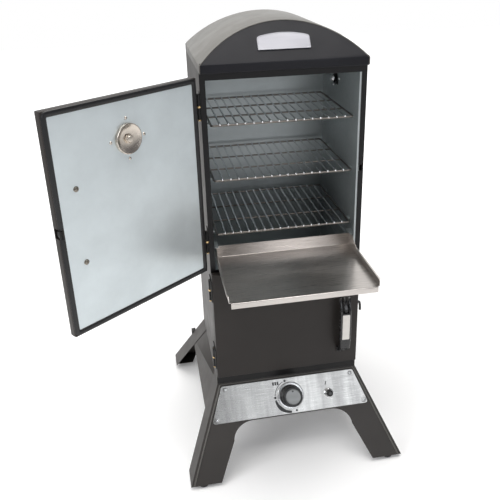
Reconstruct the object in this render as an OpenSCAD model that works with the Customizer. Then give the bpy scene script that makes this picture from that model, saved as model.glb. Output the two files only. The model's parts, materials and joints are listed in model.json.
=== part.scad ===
// Two-door vertical water smoker on splayed legs, built from separate sub-parts.
// Units are millimetres, +Z is up, the front faces -Y.
// The origin is on the floor, at the centre of the four feet.
// Stored pose: upper door swung open, shelf tray drawn out, lower door shut.

/* [Cabinet] */
// Width across the two side walls
cab_w = 430; // [380:1:480]
// Depth from the front frame to the back wall
cab_d = 374; // [330:1:420]
// Height of the cabinet's underside above the floor
cab_bot = 252; // [220:1:300]
// Height where the side walls meet the roof
eaves_z = 1176; // [1100:1:1250]
// Thickness of each double-skinned side wall
wall_t = 12.4; // [8:0.1:20]
// Thickness of the double-skinned back wall
rear_t = 15; // [8:0.5:25]
// Gauge of the painted outer sheet
sheet = 1.2; // [0.8:0.1:2]
// Gauge of the bright inner liner sheet
liner_t = 0.8; // [0.5:0.1:1.2]
// Width of each front post
post_w = 14.5; // [10:0.5:25]
// Inward lip of the liner beside the right post
liner_lip = 5; // [2:0.5:8]
// Bottom edge of the upper door opening
sill_z = 636.5; // [600:0.5:680]
// Top edge of the upper door opening
head_z = 1156; // [1120:1:1165]
// Bottom edge of the lower door opening
low_sill_z = 300; // [280:1:330]
// Top edge of the lower door opening
low_head_z = 620; // [560:1:625]

/* [Roof] */
// Height of the roof's crown above the floor
crown_z = 1287; // [1220:1:1340]
// Height where the arch of the roof springs
spring_z = 1195; // [1180:1:1210]
// Inward lean of the roof's ends, as run over rise
end_lean = 0.71; // [0:0.01:0.9]
// Roof overhang past the front frame
roof_over = 16; // [0:1:30]
// Roof overhang past the back wall
roof_back = 4; // [0:1:20]
// Half width of the blank badge
badge_hw = 66.5; // [40:0.5:90]

/* [Base] */
// Spread of the legs across the front, at their feet
leg_w = 647.2; // [560:1:720]
// Spread of the legs front to back, at their feet
leg_d = 678; // [600:1:760]
// Height of the leg sheet's lower edge above the floor
leg_z = 12.2; // [8:0.1:25]
// Width of each leg's folded side flange
leg_flange = 70; // [50:1:90]
// Distance down the slope to the top of the arch
arch_s = 120; // [118:1:150]
// Half width of the flat top of the arch
arch_top = 122; // [90:1:150]
// Half width of the arch at the feet
arch_foot = 235; // [210:1:260]
// Spacing of the feet across the front
foot_x = 570; // [480:1:620]
// Spacing of the feet front to back
foot_y = 644; // [560:1:700]
// Radius of each levelling foot
foot_r = 14; // [10:0.5:20]

/* [Doors] */
// Thickness of both doors
door_t = 19.4; // [14:0.1:26]
// Width of both doors
door_w = 425; // [400:1:430]
// Bottom edge of the upper door
door_lo = 639; // [637:0.5:645]
// Top edge of the upper door
door_hi = 1166; // [1158:0.5:1170]
// Bottom edge of the lower door
low_lo = 288; // [270:1:296]
// Top edge of the lower door
low_hi = 631; // [622:0.5:634]
// Opening angle of the upper door in the stored pose
door_open = 142; // [100:1:150]
// Gap between a shut door and the front frame
door_gap = 3; // [2:0.1:5]
// Width of the black rim around each door's liner
rim_w = 14; // [10:0.5:20]
// Radius of the hinge knuckles
knuckle_r = 4.2; // [3.5:0.1:4.3]
// Radius of the hinge pins
pin_r = 2.2; // [1.5:0.1:2.6]
// Running clearance around every pivot
run = 0.05; // [0.02:0.01:0.1]
// Height of each hinge
hinge_h = 64; // [50:1:90]

/* [Handles] */
// Distance from a door's hinge edge to its handle screws
handle_in = 367.5; // [340:0.5:385]
// Spacing of the two handle screws
screw_gap = 175; // [150:1:200]
// Distance from the hinge edge to the lower door's handle screws
low_handle_in = 376.5; // [340:0.5:385]
// Width of a handle
handle_w = 33; // [26:1:38]
// Reach of a handle in front of its door
handle_out = 42; // [36:1:60]

/* [Thermometer] */
// Distance from the hinge edge to the thermometer's axis
thermo_in = 218; // [180:1:250]
// Height of the thermometer's axis
thermo_z = 1065; // [1000:1:1100]
// Radius of the dial case outside the door
thermo_r = 40; // [32:1:50]
// Angle of the pointer when cold
needle_cold = -120; // [-180:1:0]
// Radius of the bright cup inside the door
cup_r = 35.5; // [28:0.5:44]

/* [Racks and tray] */
// Heights of the three cooking racks
rack_z = [1036, 887, 732];
// Width of a cooking rack
rack_w = 383.4; // [360:0.2:395]
// Front edge of the racks
rack_y0 = -164.5; // [-175:0.5:-140]
// Back edge of the racks
rack_y1 = 150; // [100:1:165]
// Number of rods running front to back
rack_rods = 16; // [10:1:24]
// Height of the tray's plate
tray_z = 655; // [652:0.5:662]
// Width of the tray
tray_w = 389; // [360:0.5:389]
// Length of the tray from back edge to front lip
tray_len = 265; // [220:1:300]
// Depth of the folded front lip
tray_lip = 15; // [10:0.5:19]
// Back edge of the tray when drawn out
tray_y1 = -146; // [-165:1:-120]

/* [Controls] */
// Distance down the slope to the top of the control plate
plate_s0 = 10; // [5:1:20]
// Distance down the slope to its lower edge
plate_s1 = 117; // [100:1:118]
// Half width of the control plate at the top
plate_top = 205; // [180:1:212]
// Half width of the control plate at the bottom
plate_foot = 243; // [200:1:250]
// Sideways position of the burner knob
knob_x = 2; // [-40:1:40]
// Distance down the slope to the knob's axis
knob_s = 64; // [50:1:80]
// Radius of the knob's face
knob_r = 29; // [20:0.5:34]
// Radius of the knob's skirt
knob_base = 33.5; // [24:0.5:38]
// Height of the knob's face above the panel
knob_h = 46; // [28:1:50]
// Radius of the raised ring round the knob
bezel_r = 41; // [30:0.5:45]
// Sideways position of the igniter button
ign_x = 121; // [90:1:160]
// Distance down the slope to the igniter's axis
ign_s = 72; // [50:1:90]

/* [Hidden] */
$fn = 48;
eps = 0.01;
hw = cab_w / 2;
hd = cab_d / 2;
drop = cab_bot - leg_z;
front_tilt = atan((leg_d - cab_d) / 2 / drop);
side_tilt = atan((leg_w - cab_w) / 2 / drop);
front_len = drop / cos(front_tilt);
side_len = drop / cos(side_tilt);
in_x = hw - wall_t;
in_y = hd - rear_t;
roof_sag = crown_z - spring_z;
roof_r = (hw * hw + roof_sag * roof_sag) / (2 * roof_sag);
roof_cz = crown_z - roof_r;
roof_y0 = -hd - roof_over;
roof_y1 = hd + roof_back;
end_top = crown_z + 5;
hinge_x = -hw - 4.4;
hinge_y = -hd - 2.3;
door_y = -hd - door_gap;
door_x0 = -hw;
handle_x = door_x0 + handle_in;
low_shift = low_handle_in - handle_in;
thermo_x = door_x0 + thermo_in;
main_mid = 899.5;
low_mid = 437.5;
main_hinge_z = [694, 1062];
low_hinge_z = [320, 545];
rod_pitch = (rack_w - 6) / (rack_rods + 1);
vent_y = 41;
vent_z = 1098;
latch_z = 899;
low_latch_z = 437;

// ---- placing helpers ----

// Local frame of the sloping front panel: x right, y up the slope, z outwards.
module on_front() translate([0, -hd, cab_bot]) rotate([90 - front_tilt, 0, 0]) children();

// Local frame of a sloping side panel; side is 1 for the right, -1 for the left.
module on_side(side) translate([side * hw, 0, cab_bot]) rotate([0, 0, side * 90])
    rotate([90 - side_tilt, 0, 0]) children();

// Turns what is built shut into the stored, open position of the upper door.
module opened() translate([hinge_x, hinge_y, 0]) rotate([0, 0, -door_open])
    translate([-hinge_x, -hinge_y, 0]) children();

// A box from its low and high corners.
module span(a, b) translate(a) cube(b - a);

// A straight rod between two points.
module rod(p, q, r) {
    d = q - p;
    translate(p) rotate([0, acos(d[2] / norm(d)), atan2(d[1], d[0])]) cylinder(h = norm(d), r = r, $fn = 20);
}

// A cylinder along x, from x0 to x1.
module xcyl(x0, x1, y, z, r) translate([x0, y, z]) rotate([0, 90, 0]) cylinder(h = x1 - x0, r = r);

// A cylinder along y, from y0 to y1.
module ycyl(x, y0, y1, z, r) translate([x, y0, z]) rotate([-90, 0, 0]) cylinder(h = y1 - y0, r = r);

// A pan-head screw with its head outwards along +z, seated at z = 0.
module pan_screw(r, h) {
    cylinder(h = h, r1 = r, r2 = r * 0.72);
}

// ---- cabinet walls ----

// Sheet pan open towards the inside, with returns along all four edges.
module wall_pan(side) {
    mirror([side < 0 ? 1 : 0, 0, 0]) difference() {
        span([in_x, -hd + sheet, cab_bot], [hw, hd, eaves_z]);
        span([in_x - 1, -hd + 2 * sheet, cab_bot + sheet], [hw - sheet, hd - sheet, eaves_z - sheet]);
    }
}

// Three round smoke vents and the damper bolt's hole, along x.
module vent_holes(x0, x1) {
    xcyl(x0, x1, vent_y, vent_z, 4);
    for (a = [90, 210, 330]) xcyl(x0, x1, vent_y + 18 * cos(a), vent_z + 18 * sin(a), 8);
}

// Slots in the right post that the two latches hook into.
module latch_slots() for (z = [latch_z, low_latch_z])
    span([201.5, -hd - 1, z - 9], [211, -hd + 3, z + 9]);

module left_wall() color("#3d3b39") wall_pan(-1);

module right_wall() color("#3d3b39") difference() {
    wall_pan(1);
    vent_holes(hw - 3, hw + 1);
    latch_slots();
}

module back_wall() color("#3d3b39") difference() {
    span([-in_x + eps, in_y, cab_bot], [in_x - eps, hd, eaves_z]);
    span([-in_x + sheet, in_y - 1, cab_bot + sheet], [in_x - sheet, hd - sheet, eaves_z - sheet]);
}

// Flat sheet with the two door openings and a slot for each latch.
module front_frame() color("#2f2d2d") difference() {
    span([-hw, -hd, cab_bot], [hw, -hd + sheet, eaves_z]);
    span([-hw + post_w, -hd - 1, sill_z], [hw - post_w, -hd + 3, head_z]);
    span([-hw + post_w, -hd - 1, low_sill_z], [hw - post_w, -hd + 3, low_head_z]);
    latch_slots();
}

// Liner bent round the sides and back, with a narrow lip beside the right post.
module liner(z0, z1) {
    x1 = in_x - 0.1;
    x0 = x1 - liner_t;
    difference() {
        span([-x1, -hd + sheet, z0], [x1, in_y - 0.1, z1]);
        span([-x0, -hd, z0 - 1], [x0, in_y - 0.1 - liner_t, z1 + 1]);
    }
    span([hw - post_w - liner_lip, -hd + sheet, z0], [x0 + 0.2, -hd + sheet + liner_t, z1]);
}

// The cooking chamber's liner, with a pressed ledge under each rack.
module upper_liner() color("#8b9699") {
    difference() {
        liner(low_head_z + 4, head_z + 3);
        vent_holes(in_x - 3, in_x + 1);
        span([190, -hd - 1, tray_z + 12], [in_x - 1.5, -hd + 5, tray_z + 19]);
    }
    for (s = [-1, 1], z = rack_z, y = [-120, 110]) mirror([s < 0 ? 1 : 0, 0, 0])
        span([in_x - 12, y - 9, z - 7.5], [in_x - 0.5, y + 9, z - 3.2]);
}

module lower_liner() color("#7c8588") liner(cab_bot + sheet + 2, low_head_z + 3);

module ceiling_liner() color("#5c6365")
    span([-in_x + 0.5, -hd + 2 * sheet, head_z + 4], [in_x - 0.5, in_y - 0.5, head_z + 5]);

// Bottom sheet with a round air hole under the burner.
module floor_pan() color("#3a3938") difference() {
    span([-in_x + 1.5, -hd + sheet + 1, cab_bot], [in_x - 1.5, in_y - 1.5, cab_bot + sheet]);
    translate([0, 0, cab_bot - 1]) cylinder(h = 4, r = 62);
}

// ---- roof ----

// Outline of the arched roof in the x-z plane, pulled in by t.
module roof_outline(t) intersection() {
    translate([0, roof_cz]) circle(r = roof_r - t, $fn = 96);
    translate([-hw + t, eaves_z]) square([2 * (hw - t), 200]);
}

// Side view of the roof drawn in by a: upright to the spring line, then leaning inwards.
module roof_side(a) translate([-hw - 1, 0, 0]) rotate([90, 0, 90]) linear_extrude(height = cab_w + 2)
    polygon([[roof_y0 + a, eaves_z - 5], [roof_y0 + a, spring_z],
        [roof_y0 + a + end_lean * (end_top - spring_z), end_top],
        [roof_y1 - a - end_lean * (end_top - spring_z), end_top],
        [roof_y1 - a, spring_z], [roof_y1 - a, eaves_z - 5]]);

// Arched cover with short straight sides and ends cut to the lean.
module roof_shell() color("#2b2b2e") intersection() {
    translate([0, roof_y1, 0]) rotate([90, 0, 0]) linear_extrude(height = roof_y1 - roof_y0)
        difference() {
            roof_outline(0);
            roof_outline(sheet);
            translate([-hw + sheet, eaves_z - 1]) square([cab_w - 2 * sheet, 10]);
        }
    roof_side(0);
}

// Sheet that closes one end of the arch, between y and the middle of the roof.
module roof_end(y) intersection() {
    translate([0, max(y, 0), 0]) rotate([90, 0, 0]) linear_extrude(height = abs(y))
        roof_outline(sheet + 2 * eps);
    difference() {
        roof_side(1.5);
        roof_side(1.5 + sheet);
    }
}

// Front end of the roof, set back slightly and turned under as a fascia lip.
module roof_front() color("#2b2b2e") {
    x1 = hw - sheet - eps;
    y0 = roof_y0 + 1.5;
    roof_end(roof_y0);
    span([-x1, y0, eaves_z - 2], [x1, y0 + sheet, eaves_z + 1]);
    span([-x1, y0, eaves_z - 2], [x1, -hd - 0.5, eaves_z - 2 + sheet]);
}

module roof_back_panel() color("#2b2b2e") roof_end(roof_y1);

// Blank badge with an arched top edge, on the roof's leaning front end.
module badge_plate() color("#c9cbcd") translate([0, roof_y0 + 1.5, spring_z])
    rotate([90 - atan(end_lean), 0, 0]) linear_extrude(height = 2.5) intersection() {
        translate([-badge_hw, 31.5]) square([2 * badge_hw, 60]);
        translate([0, 76.5 - 230]) circle(r = 230, $fn = 96);
    }

// ---- base ----

// One leg frame: sloping face with an arch, two folded side flanges, foot plates and a top flange.
module leg_frame(holes) {
    difference() {
        on_front() translate([0, 0, -1.5]) linear_extrude(height = 1.5) difference() {
            polygon([[-hw, 0], [hw, 0], [leg_w / 2, -front_len], [-leg_w / 2, -front_len]]);
            translate([-arch_top, -arch_s - 34]) square([2 * arch_top, 34]);
            for (s = [-1, 1]) translate([s * arch_top, -arch_s - 55]) scale([1, 0.9]) circle(r = 61);
            polygon([[-arch_top - 61, -arch_s - 52], [arch_top + 61, -arch_s - 52],
                [arch_foot, -front_len - 5], [-arch_foot, -front_len - 5]]);
            translate([-arch_top, -arch_s - 80]) square([2 * arch_top, 60]);
        }
        if (holes) on_front() for (p = [[knob_x, knob_s, 7], [ign_x, ign_s, 8.2]])
            translate([p[0], -p[1], -5]) cylinder(h = 10, r = p[2]);
    }
    for (s = [-1, 1]) {
        on_side(s) translate([0, 0, -1.5]) linear_extrude(height = 1.5)
            polygon([[s * -hd, 0], [s * (leg_flange - hd), 0],
                [s * (leg_flange - leg_d / 2), -side_len], [s * -leg_d / 2, -side_len]]);
        difference() {
            translate([0, 0, leg_z]) linear_extrude(height = 1.5)
                polygon([[s * 240, 2.4 - leg_d / 2], [s * (leg_w / 2 - 2.6), 2.4 - leg_d / 2],
                    [s * (leg_w / 2 - 2.6), 62 - leg_d / 2], [s * 262, 62 - leg_d / 2]]);
            translate([s * foot_x / 2, -foot_y / 2, 5]) cylinder(h = 20, r = 4);
        }
    }
    span([-hw + 2, -hd + 2, cab_bot - 1.6], [hw - 2, -hd + 34, cab_bot - 0.1]);
}

module front_legs() color("#363436") leg_frame(true);

module rear_legs() color("#363436") mirror([0, 1, 0]) leg_frame(false);

// Skirt between the leg frames, behind their flanges.
module skirt(side) {
    on_side(side) translate([0, 0, -3.2]) linear_extrude(height = 1.5)
        polygon([[-hd + 12, -2], [hd - 12, -2], [hd + 46, -104], [-hd - 46, -104]]);
    mirror([side < 0 ? 1 : 0, 0, 0])
        span([hw - 34, -hd + 36, cab_bot - 1.6], [hw - 2.5, hd - 36, cab_bot - 0.1]);
}

module side_skirts() color("#363436") for (s = [-1, 1]) skirt(s);

// Levelling feet, each with a threaded stem through its foot plate.
module feet() color("#1c1c1d") for (x = [-1, 1], y = [-1, 1])
    translate([x * foot_x / 2, y * foot_y / 2, 0]) {
        cylinder(h = 3, r1 = foot_r - 1.5, r2 = foot_r);
        translate([0, 0, 3]) cylinder(h = leg_z - 3.05, r = foot_r);
        cylinder(h = 26, r = 3.9);
    }

// ---- control plate, knob and igniter ----

module control_plate() color("#c4c7c9") on_front() difference() {
    translate([0, 0, 0.05]) linear_extrude(height = 1.5) difference() {
        polygon([[-plate_top, -plate_s0 - 5], [-plate_top + 5, -plate_s0], [plate_top - 5, -plate_s0],
            [plate_top, -plate_s0 - 5], [plate_foot, -plate_s1 + 6], [plate_foot - 5, -plate_s1],
            [-plate_foot + 5, -plate_s1], [-plate_foot, -plate_s1 + 6]]);
        translate([knob_x, -knob_s]) circle(r = 6.5);
        translate([ign_x, -ign_s]) circle(r = 8.2);
    }
}

module panel_screws() color("#d8dadb") on_front() for (s = [-1, 1], p = [[195, 21], [229, 107]])
    translate([s * p[0], -p[1], 1.6]) pan_screw(4.5, 2.4);

// Raised ring around the knob.
module knob_bezel() color("#9a9da0") on_front() translate([knob_x, -knob_s, 1.6]) difference() {
    cylinder(h = 2, r1 = bezel_r, r2 = bezel_r - 3);
    translate([0, 0, -1]) cylinder(h = 5, r = 6.5);
}

// Tapered grip with a shallow recess for its insert.
module burner_knob() color("#2b2b2c") on_front() translate([knob_x, -knob_s, 0]) difference() {
    union() {
        translate([0, 0, 6.8]) cylinder(h = 5, r = knob_base);
        translate([0, 0, 11.8]) cylinder(h = knob_h - 11.8, r1 = knob_base - 1, r2 = knob_r);
    }
    translate([0, 0, knob_h - 1.5]) cylinder(h = 3, r = knob_r - 3.5 + run);
    translate([0, 0, 5]) cylinder(h = 18, r = 3 + run);
}

module knob_insert() color("#9fa3a5") on_front() translate([knob_x, -knob_s, knob_h - 1.5])
    cylinder(h = 1.6, r = knob_r - 3.5);

module valve_stem() color("#b79a5a") on_front() translate([knob_x, -knob_s, -8])
    cylinder(h = 29, r = 3);

// Valve body behind the plate, bored for its stem.
module gas_valve() color("#b08d57") on_front() translate([knob_x, -knob_s, 0]) difference() {
    union() {
        translate([-13, -13, -34]) cube([26, 26, 26]);
        translate([0, 0, -8]) cylinder(h = 6, r = 10);
        translate([0, 0, -42]) cylinder(h = 8, r = 6);
        translate([0, -12, -21]) rotate([90, 0, 0]) cylinder(h = 3.5, r = 9);
    }
    translate([0, 0, -13]) cylinder(h = 20, r = 3 + run);
}

// Gas inlet fitting that a hose would screw on to, pointing down behind the panel.
module gas_inlet() color("#c2a160") on_front() translate([knob_x, -knob_s - 15.5, -21])
    rotate([90, 0, 0]) {
        cylinder(h = 6, r = 9.5, $fn = 6);
        translate([0, 0, 6]) cylinder(h = 16, r = 7.5);
    }

module igniter_body() color("#c9cbcc") on_front() translate([ign_x, -ign_s, 0]) difference() {
    union() {
        translate([0, 0, 1.6]) cylinder(h = 2.6, r = 15);
        translate([0, 0, 4.2]) cylinder(h = 10.8, r = 11.6);
        translate([0, 0, -28]) cylinder(h = 29.6, r = 8);
    }
    translate([0, 0, 5]) cylinder(h = 20, r = 9.35);
    translate([0, 0, -4]) cylinder(h = 10, r = 4.05);
}

module igniter_button() color("#4b4d4f") on_front() translate([ign_x, -ign_s, 0]) {
    translate([0, 0, 1]) cylinder(h = 8, r = 4);
    translate([0, 0, 9]) cylinder(h = 13, r = 9.3);
    translate([0, 0, 22]) cylinder(h = 2, r1 = 9.3, r2 = 7);
}

// ---- burner, smoker box and water bowl ----

module burner() color("#6d6a66") translate([0, 0, 266]) difference() {
    union() {
        cylinder(h = 12, r = 54);
        translate([0, 0, 12]) cylinder(h = 5, r1 = 54, r2 = 40);
    }
    for (a = [0 : 30 : 330]) rotate([0, 0, a]) translate([46, 0, 6]) cylinder(h = 20, r = 2);
}

// Mixing tube from the valve's jet up to the burner.
module burner_tube() color("#77736e") {
    rod([knob_x, -174, 175.5], [0, -16, 256], 10);
    translate([0, -16, 252]) cylinder(h = 14, r = 11);
}

// Bridge that carries the burner over the air hole.
module burner_bracket() color("#5a5855") difference() {
    union() {
        span([-80, -12, cab_bot + sheet + 2], [80, 12, cab_bot + sheet + 4]);
        for (s = [-1, 1]) span([s * 80 - 10, -12, cab_bot + sheet], [s * 80 + 10, 12, cab_bot + sheet + 4]);
        for (s = [-1, 1]) span([s * 40 - 4, -12, cab_bot + 4], [s * 40 + 4, 12, 266]);
    }
    translate([0, -16, 240]) cylinder(h = 40, r = 12);
}

// Open tray for wood chips, standing on four legs over the burner.
module smoker_box() color("#55524f") {
    difference() {
        span([-110, -75, 312], [110, 75, 362]);
        span([-108, -73, 314], [108, 73, 370]);
    }
    for (x = [-104, 104], y = [-69, 69]) span([x - 5, y - 5, cab_bot + sheet], [x + 5, y + 5, 312]);
}

module smoker_lid() color("#55524f") difference() {
    union() {
        span([-111, -76, 362], [111, 76, 364]);
        span([-30, -8, 372], [30, 8, 375]);
        for (s = [-1, 1]) span([s * 28 - 2, -8, 363], [s * 28 + 2, 8, 373]);
    }
    for (x = [-75, -45, 45, 75], y = [-45, 45]) translate([x, y, 355]) cylinder(h = 20, r = 6);
}

module water_bowl() color("#8f9698") translate([0, 0, 455]) rotate_extrude($fn = 96)
    polygon([[0, 0], [115, 0], [150, 75], [165, 75], [165, 77], [148.7, 77], [113.7, 2], [0, 2]]);

// Frame under the bowl's rim, on the lower liner's walls.
module bowl_support() color("#9aa0a2") difference() {
    span([-in_x + 1.2, -150, 526], [in_x - 1.2, 160, 528]);
    translate([0, 0, 520]) cylinder(h = 20, r = 152, $fn = 96);
    for (x = [-1, 1], y = [-140, 130]) translate([x * 165, y, 520]) cylinder(h = 20, r = 12);
}

// ---- racks, rails and tray ----

// One wire rack: a frame, cross rods and many rods from front to back.
module rack(z) translate([0, 0, z]) {
    for (y = [rack_y0, rack_y1]) rod([-rack_w / 2, y, 0], [rack_w / 2, y, 0], 3);
    for (s = [-1, 1]) rod([s * (rack_w / 2 - 3), rack_y0, 0], [s * (rack_w / 2 - 3), rack_y1, 0], 3);
    for (y = [-60, 45]) rod([-rack_w / 2 + 3, y, -3], [rack_w / 2 - 3, y, -3], 2.4);
    for (i = [1 : rack_rods]) translate([-rack_w / 2 + 3 + i * rod_pitch, 0, 0])
        rod([0, rack_y0 - 3, 3], [0, rack_y1 + 3, 3], 2);
}

module cooking_racks() color("#c8ccd0") for (z = rack_z) rack(z);

// Narrow ledges the tray's hems slide on, and a keeper over each rear ear.
module tray_rails() color("#8b9699") for (s = [-1, 1]) mirror([s < 0 ? 1 : 0, 0, 0]) {
    span([tray_w / 2 + 1.8, -178, tray_z + 13.3], [in_x - liner_t - 0.2, 168, tray_z + 14.8]);
    span([tray_w / 2 - 6.5, -178, tray_z + 43], [in_x - liner_t - 0.2, -138, tray_z + 44.5]);
}

// Bright tray: plate, raised sides with outward hems, folded lip, back wall and tall rear ears.
module shelf_tray() color("#b9bcbe") {
    y0 = tray_y1 - tray_len;
    t = 1;
    x1 = tray_w / 2;
    translate([0, 0, tray_z - t]) linear_extrude(height = t)
        polygon([[-x1, tray_y1], [-x1, y0 + 5], [5 - x1, y0], [x1 - 5, y0], [x1, y0 + 5], [x1, tray_y1]]);
    span([5 - x1, y0, tray_z - tray_lip], [x1 - 5, y0 + t, tray_z]);
    span([-x1, tray_y1 - t, tray_z - t], [x1, tray_y1, tray_z + 34]);
    for (s = [-1, 1]) mirror([s < 0 ? 1 : 0, 0, 0]) {
        difference() {
            span([x1 - t, y0 + 5, tray_z - t], [x1, tray_y1, tray_z + 41]);
            translate([x1 - 5, 0, 0]) rotate([90, 0, 90]) linear_extrude(height = 10)
                polygon([[y0, tray_z + 16], [tray_y1 - 78, tray_z + 16], [tray_y1 - 30, tray_z + 41],
                    [tray_y1 - 30, tray_z + 60], [y0, tray_z + 60]]);
            for (p = [[-24, 36], [-24, 23], [-24, 10], [-48, 23]])
                xcyl(x1 - 5, x1 + 5, tray_y1 + p[0], tray_z + p[1], 2.2);
        }
        span([x1 - t, y0 + 11, tray_z + 15], [x1 + 4.5, tray_y1, tray_z + 16]);
    }
}

// ---- hinges ----

// Cabinet half of one hinge, with the lower knuckle.
module hinge_fixed(z) translate([0, 0, z]) difference() {
    union() {
        span([-hw - 3, hinge_y + 4.8, 0], [-hw - 0.01, -hd + 34, hinge_h]);
        span([hinge_x - 1, hinge_y, 0], [-hw - 0.01, hinge_y + 4.9, hinge_h / 2 - 0.3]);
        translate([hinge_x, hinge_y, 0]) cylinder(h = hinge_h / 2 - 0.3, r = knuckle_r);
    }
    translate([hinge_x, hinge_y, -1]) cylinder(h = hinge_h, r = pin_r);
}

module hinge_brackets() color("#1f1f20") for (z = concat(main_hinge_z, low_hinge_z)) hinge_fixed(z);

module hinge_pins() color("#b99a5a") for (z = concat(main_hinge_z, low_hinge_z))
    translate([hinge_x, hinge_y, z]) {
        cylinder(h = hinge_h - 2, r = pin_r);
        translate([0, 0, -2]) cylinder(h = 2, r = pin_r + 1);
    }

// Door half of one hinge, with the upper knuckle running on the pin.
module hinge_door(z) translate([0, 0, z]) difference() {
    union() {
        span([-hw - 3, door_y - door_t + 1, 0], [-hw - 0.01, hinge_y - 4.8, hinge_h]);
        span([hinge_x - 1, hinge_y - 4.9, hinge_h / 2 + 0.3], [-hw - 0.01, hinge_y, hinge_h]);
        translate([hinge_x, hinge_y, hinge_h / 2 + 0.3]) cylinder(h = hinge_h / 2 - 0.3, r = knuckle_r);
    }
    translate([hinge_x, hinge_y, -1]) cylinder(h = hinge_h + 4, r = pin_r + run);
}

// ---- doors, built shut ----

// Pan-shaped skin: outer face, four edges and a rim turned in round the liner.
module door_skin(z0, z1, lz) {
    y0 = door_y - door_t;
    x1 = door_x0 + door_w;
    difference() {
        span([door_x0, y0, z0], [x1, door_y, z1]);
        span([door_x0 + sheet, y0 + sheet, z0 + sheet], [x1 - sheet, door_y - sheet, z1 - sheet]);
        span([door_x0 + rim_w, y0 + 5, z0 + rim_w], [x1 - rim_w, door_y + 1, z1 - rim_w]);
        span([200.5, y0 + 5, lz - 11], [x1 + 1, door_y + 1, lz + 11]);
    }
}

// Holes for a handle's two screws, through skin and liner.
module screw_holes(mid) for (z = [-1, 1])
    ycyl(handle_x, door_y - door_t - 1, door_y + 1, mid + z * screw_gap / 2, 3);

// Flat inner sheet held in the rim.
module door_liner(z0, z1) {
    x1 = door_x0 + door_w;
    span([door_x0 + rim_w + 0.05, door_y - sheet, z0 + rim_w + 0.05],
        [x1 - rim_w - 0.05, door_y - 0.2, z1 - rim_w - 0.05]);
}

module main_door_skin() color("#343336") opened() difference() {
    door_skin(door_lo, door_hi, latch_z);
    ycyl(thermo_x, door_y - door_t - 1, door_y - door_t + 3, thermo_z, 8.05);
    screw_holes(main_mid);
}

module main_door_liner() color("#aab4b7") opened() difference() {
    door_liner(door_lo, door_hi);
    ycyl(thermo_x, door_y - 3, door_y + 1, thermo_z, 8.05);
    screw_holes(main_mid);
}

// Rope seal round the rim of the upper door.
module main_door_gasket() color("#171717") opened() difference() {
    span([door_x0 + 3, door_y, door_lo + 3], [door_x0 + door_w - 3, -hd - 0.4, door_hi - 3]);
    span([door_x0 + 10, door_y - 1, door_lo + 10], [door_x0 + door_w - 10, -hd + 1, door_hi - 10]);
    span([200.5, door_y - 1, latch_z - 11], [220, -hd + 1, latch_z + 11]);
}

module main_door_hinges() color("#1f1f20") opened() for (z = main_hinge_z) hinge_door(z);

// Bowed grip on two feet, with a slot for its trigger at the top.
module handle(mid) {
    y0 = door_y - door_t;
    difference() {
        translate([handle_x - handle_w / 2, 0, 0]) rotate([90, 0, 90]) linear_extrude(height = handle_w)
            difference() {
                polygon([[y0, mid - 104], [y0 - 12, mid - 104], [y0 - 30, mid - 92],
                    [y0 - handle_out, mid - 76], [y0 - handle_out, mid + 66],
                    [y0 - 32, mid + 90], [y0 - 14, mid + 104], [y0, mid + 104]]);
                polygon([[y0 + 1, mid - 70], [y0 - 16, mid - 70], [y0 - 24, mid - 58], [y0 - 24, mid + 42],
                    [y0 - 16, mid + 56], [y0 + 1, mid + 56]]);
            }
        span([handle_x - 9.2, y0 - 60, mid + 44], [handle_x + 9.2, y0 - 14, mid + 110]);
        xcyl(handle_x - 12, handle_x + 12, y0 - 20, mid + 74, 2 + run);
        span([handle_x - 11.1, y0 - handle_out - 1, mid - 41.5],
            [handle_x + 11.1, y0 - handle_out + 1.2, mid + 41.5]);
        for (z = [-1, 1]) ycyl(handle_x, y0 - 12, y0 + 1, mid + z * screw_gap / 2, 2.5);
    }
}

module handle_inlay(mid) span([handle_x - 11, door_y - door_t - handle_out - 0.4, mid - 41.4],
    [handle_x + 11, door_y - door_t - handle_out + 1.1, mid + 41.4]);

// Thumb lever pivoting in the handle's slot.
module trigger(mid) {
    y0 = door_y - door_t;
    xcyl(handle_x - 11.8, handle_x + 11.8, y0 - 20, mid + 74, 2);
    translate([handle_x - 8.8, 0, 0]) rotate([90, 0, 90]) linear_extrude(height = 17.6)
        polygon([[y0 - 16, mid + 68], [y0 - 22, mid + 66], [y0 - 34, mid + 50], [y0 - 40, mid + 49],
            [y0 - 41, mid + 55], [y0 - 30, mid + 76], [y0 - 17, mid + 84]]);
}

// Hooked latch that reaches through the front frame and catches behind it.
module latch(z) {
    span([190, door_y - 8, z - 7], [209.5, door_y - 3, z + 7]);
    span([205.5, door_y - 8, z - 7], [209.5, -hd + 6, z + 7]);
    span([205.5, -hd + 2.6, z - 7], [213, -hd + 6, z + 7]);
}

module main_handle() color("#202021") opened() handle(main_mid);
module main_trigger() color("#2c2c2e") opened() trigger(main_mid);
module main_latch() color("#101011") opened() latch(latch_z);

module low_handle() color("#202021") translate([low_shift, 0, 0]) handle(low_mid);
module low_plate() color("#cfcfcc") translate([low_shift, 0, 0]) handle_inlay(low_mid);
module low_trigger() color("#2c2c2e") translate([low_shift, 0, 0]) trigger(low_mid);
module low_latch() color("#101011") latch(low_latch_z);

// Blank metal inlay in the upper door's handle.
module handle_plate() color("#cfcfcc") opened() handle_inlay(main_mid);

// Pan-head screws that hold the upper door's handle from inside.
module handle_screws() color("#b9bcbd") opened() for (z = [-1, 1])
    translate([handle_x, door_y - 0.2, main_mid + z * screw_gap / 2]) rotate([-90, 0, 0]) {
        pan_screw(5.5, 2.8);
        translate([0, 0, -door_t - 6]) cylinder(h = door_t + 6, r = 2.45);
    }

// ---- thermometer in the upper door ----

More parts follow.
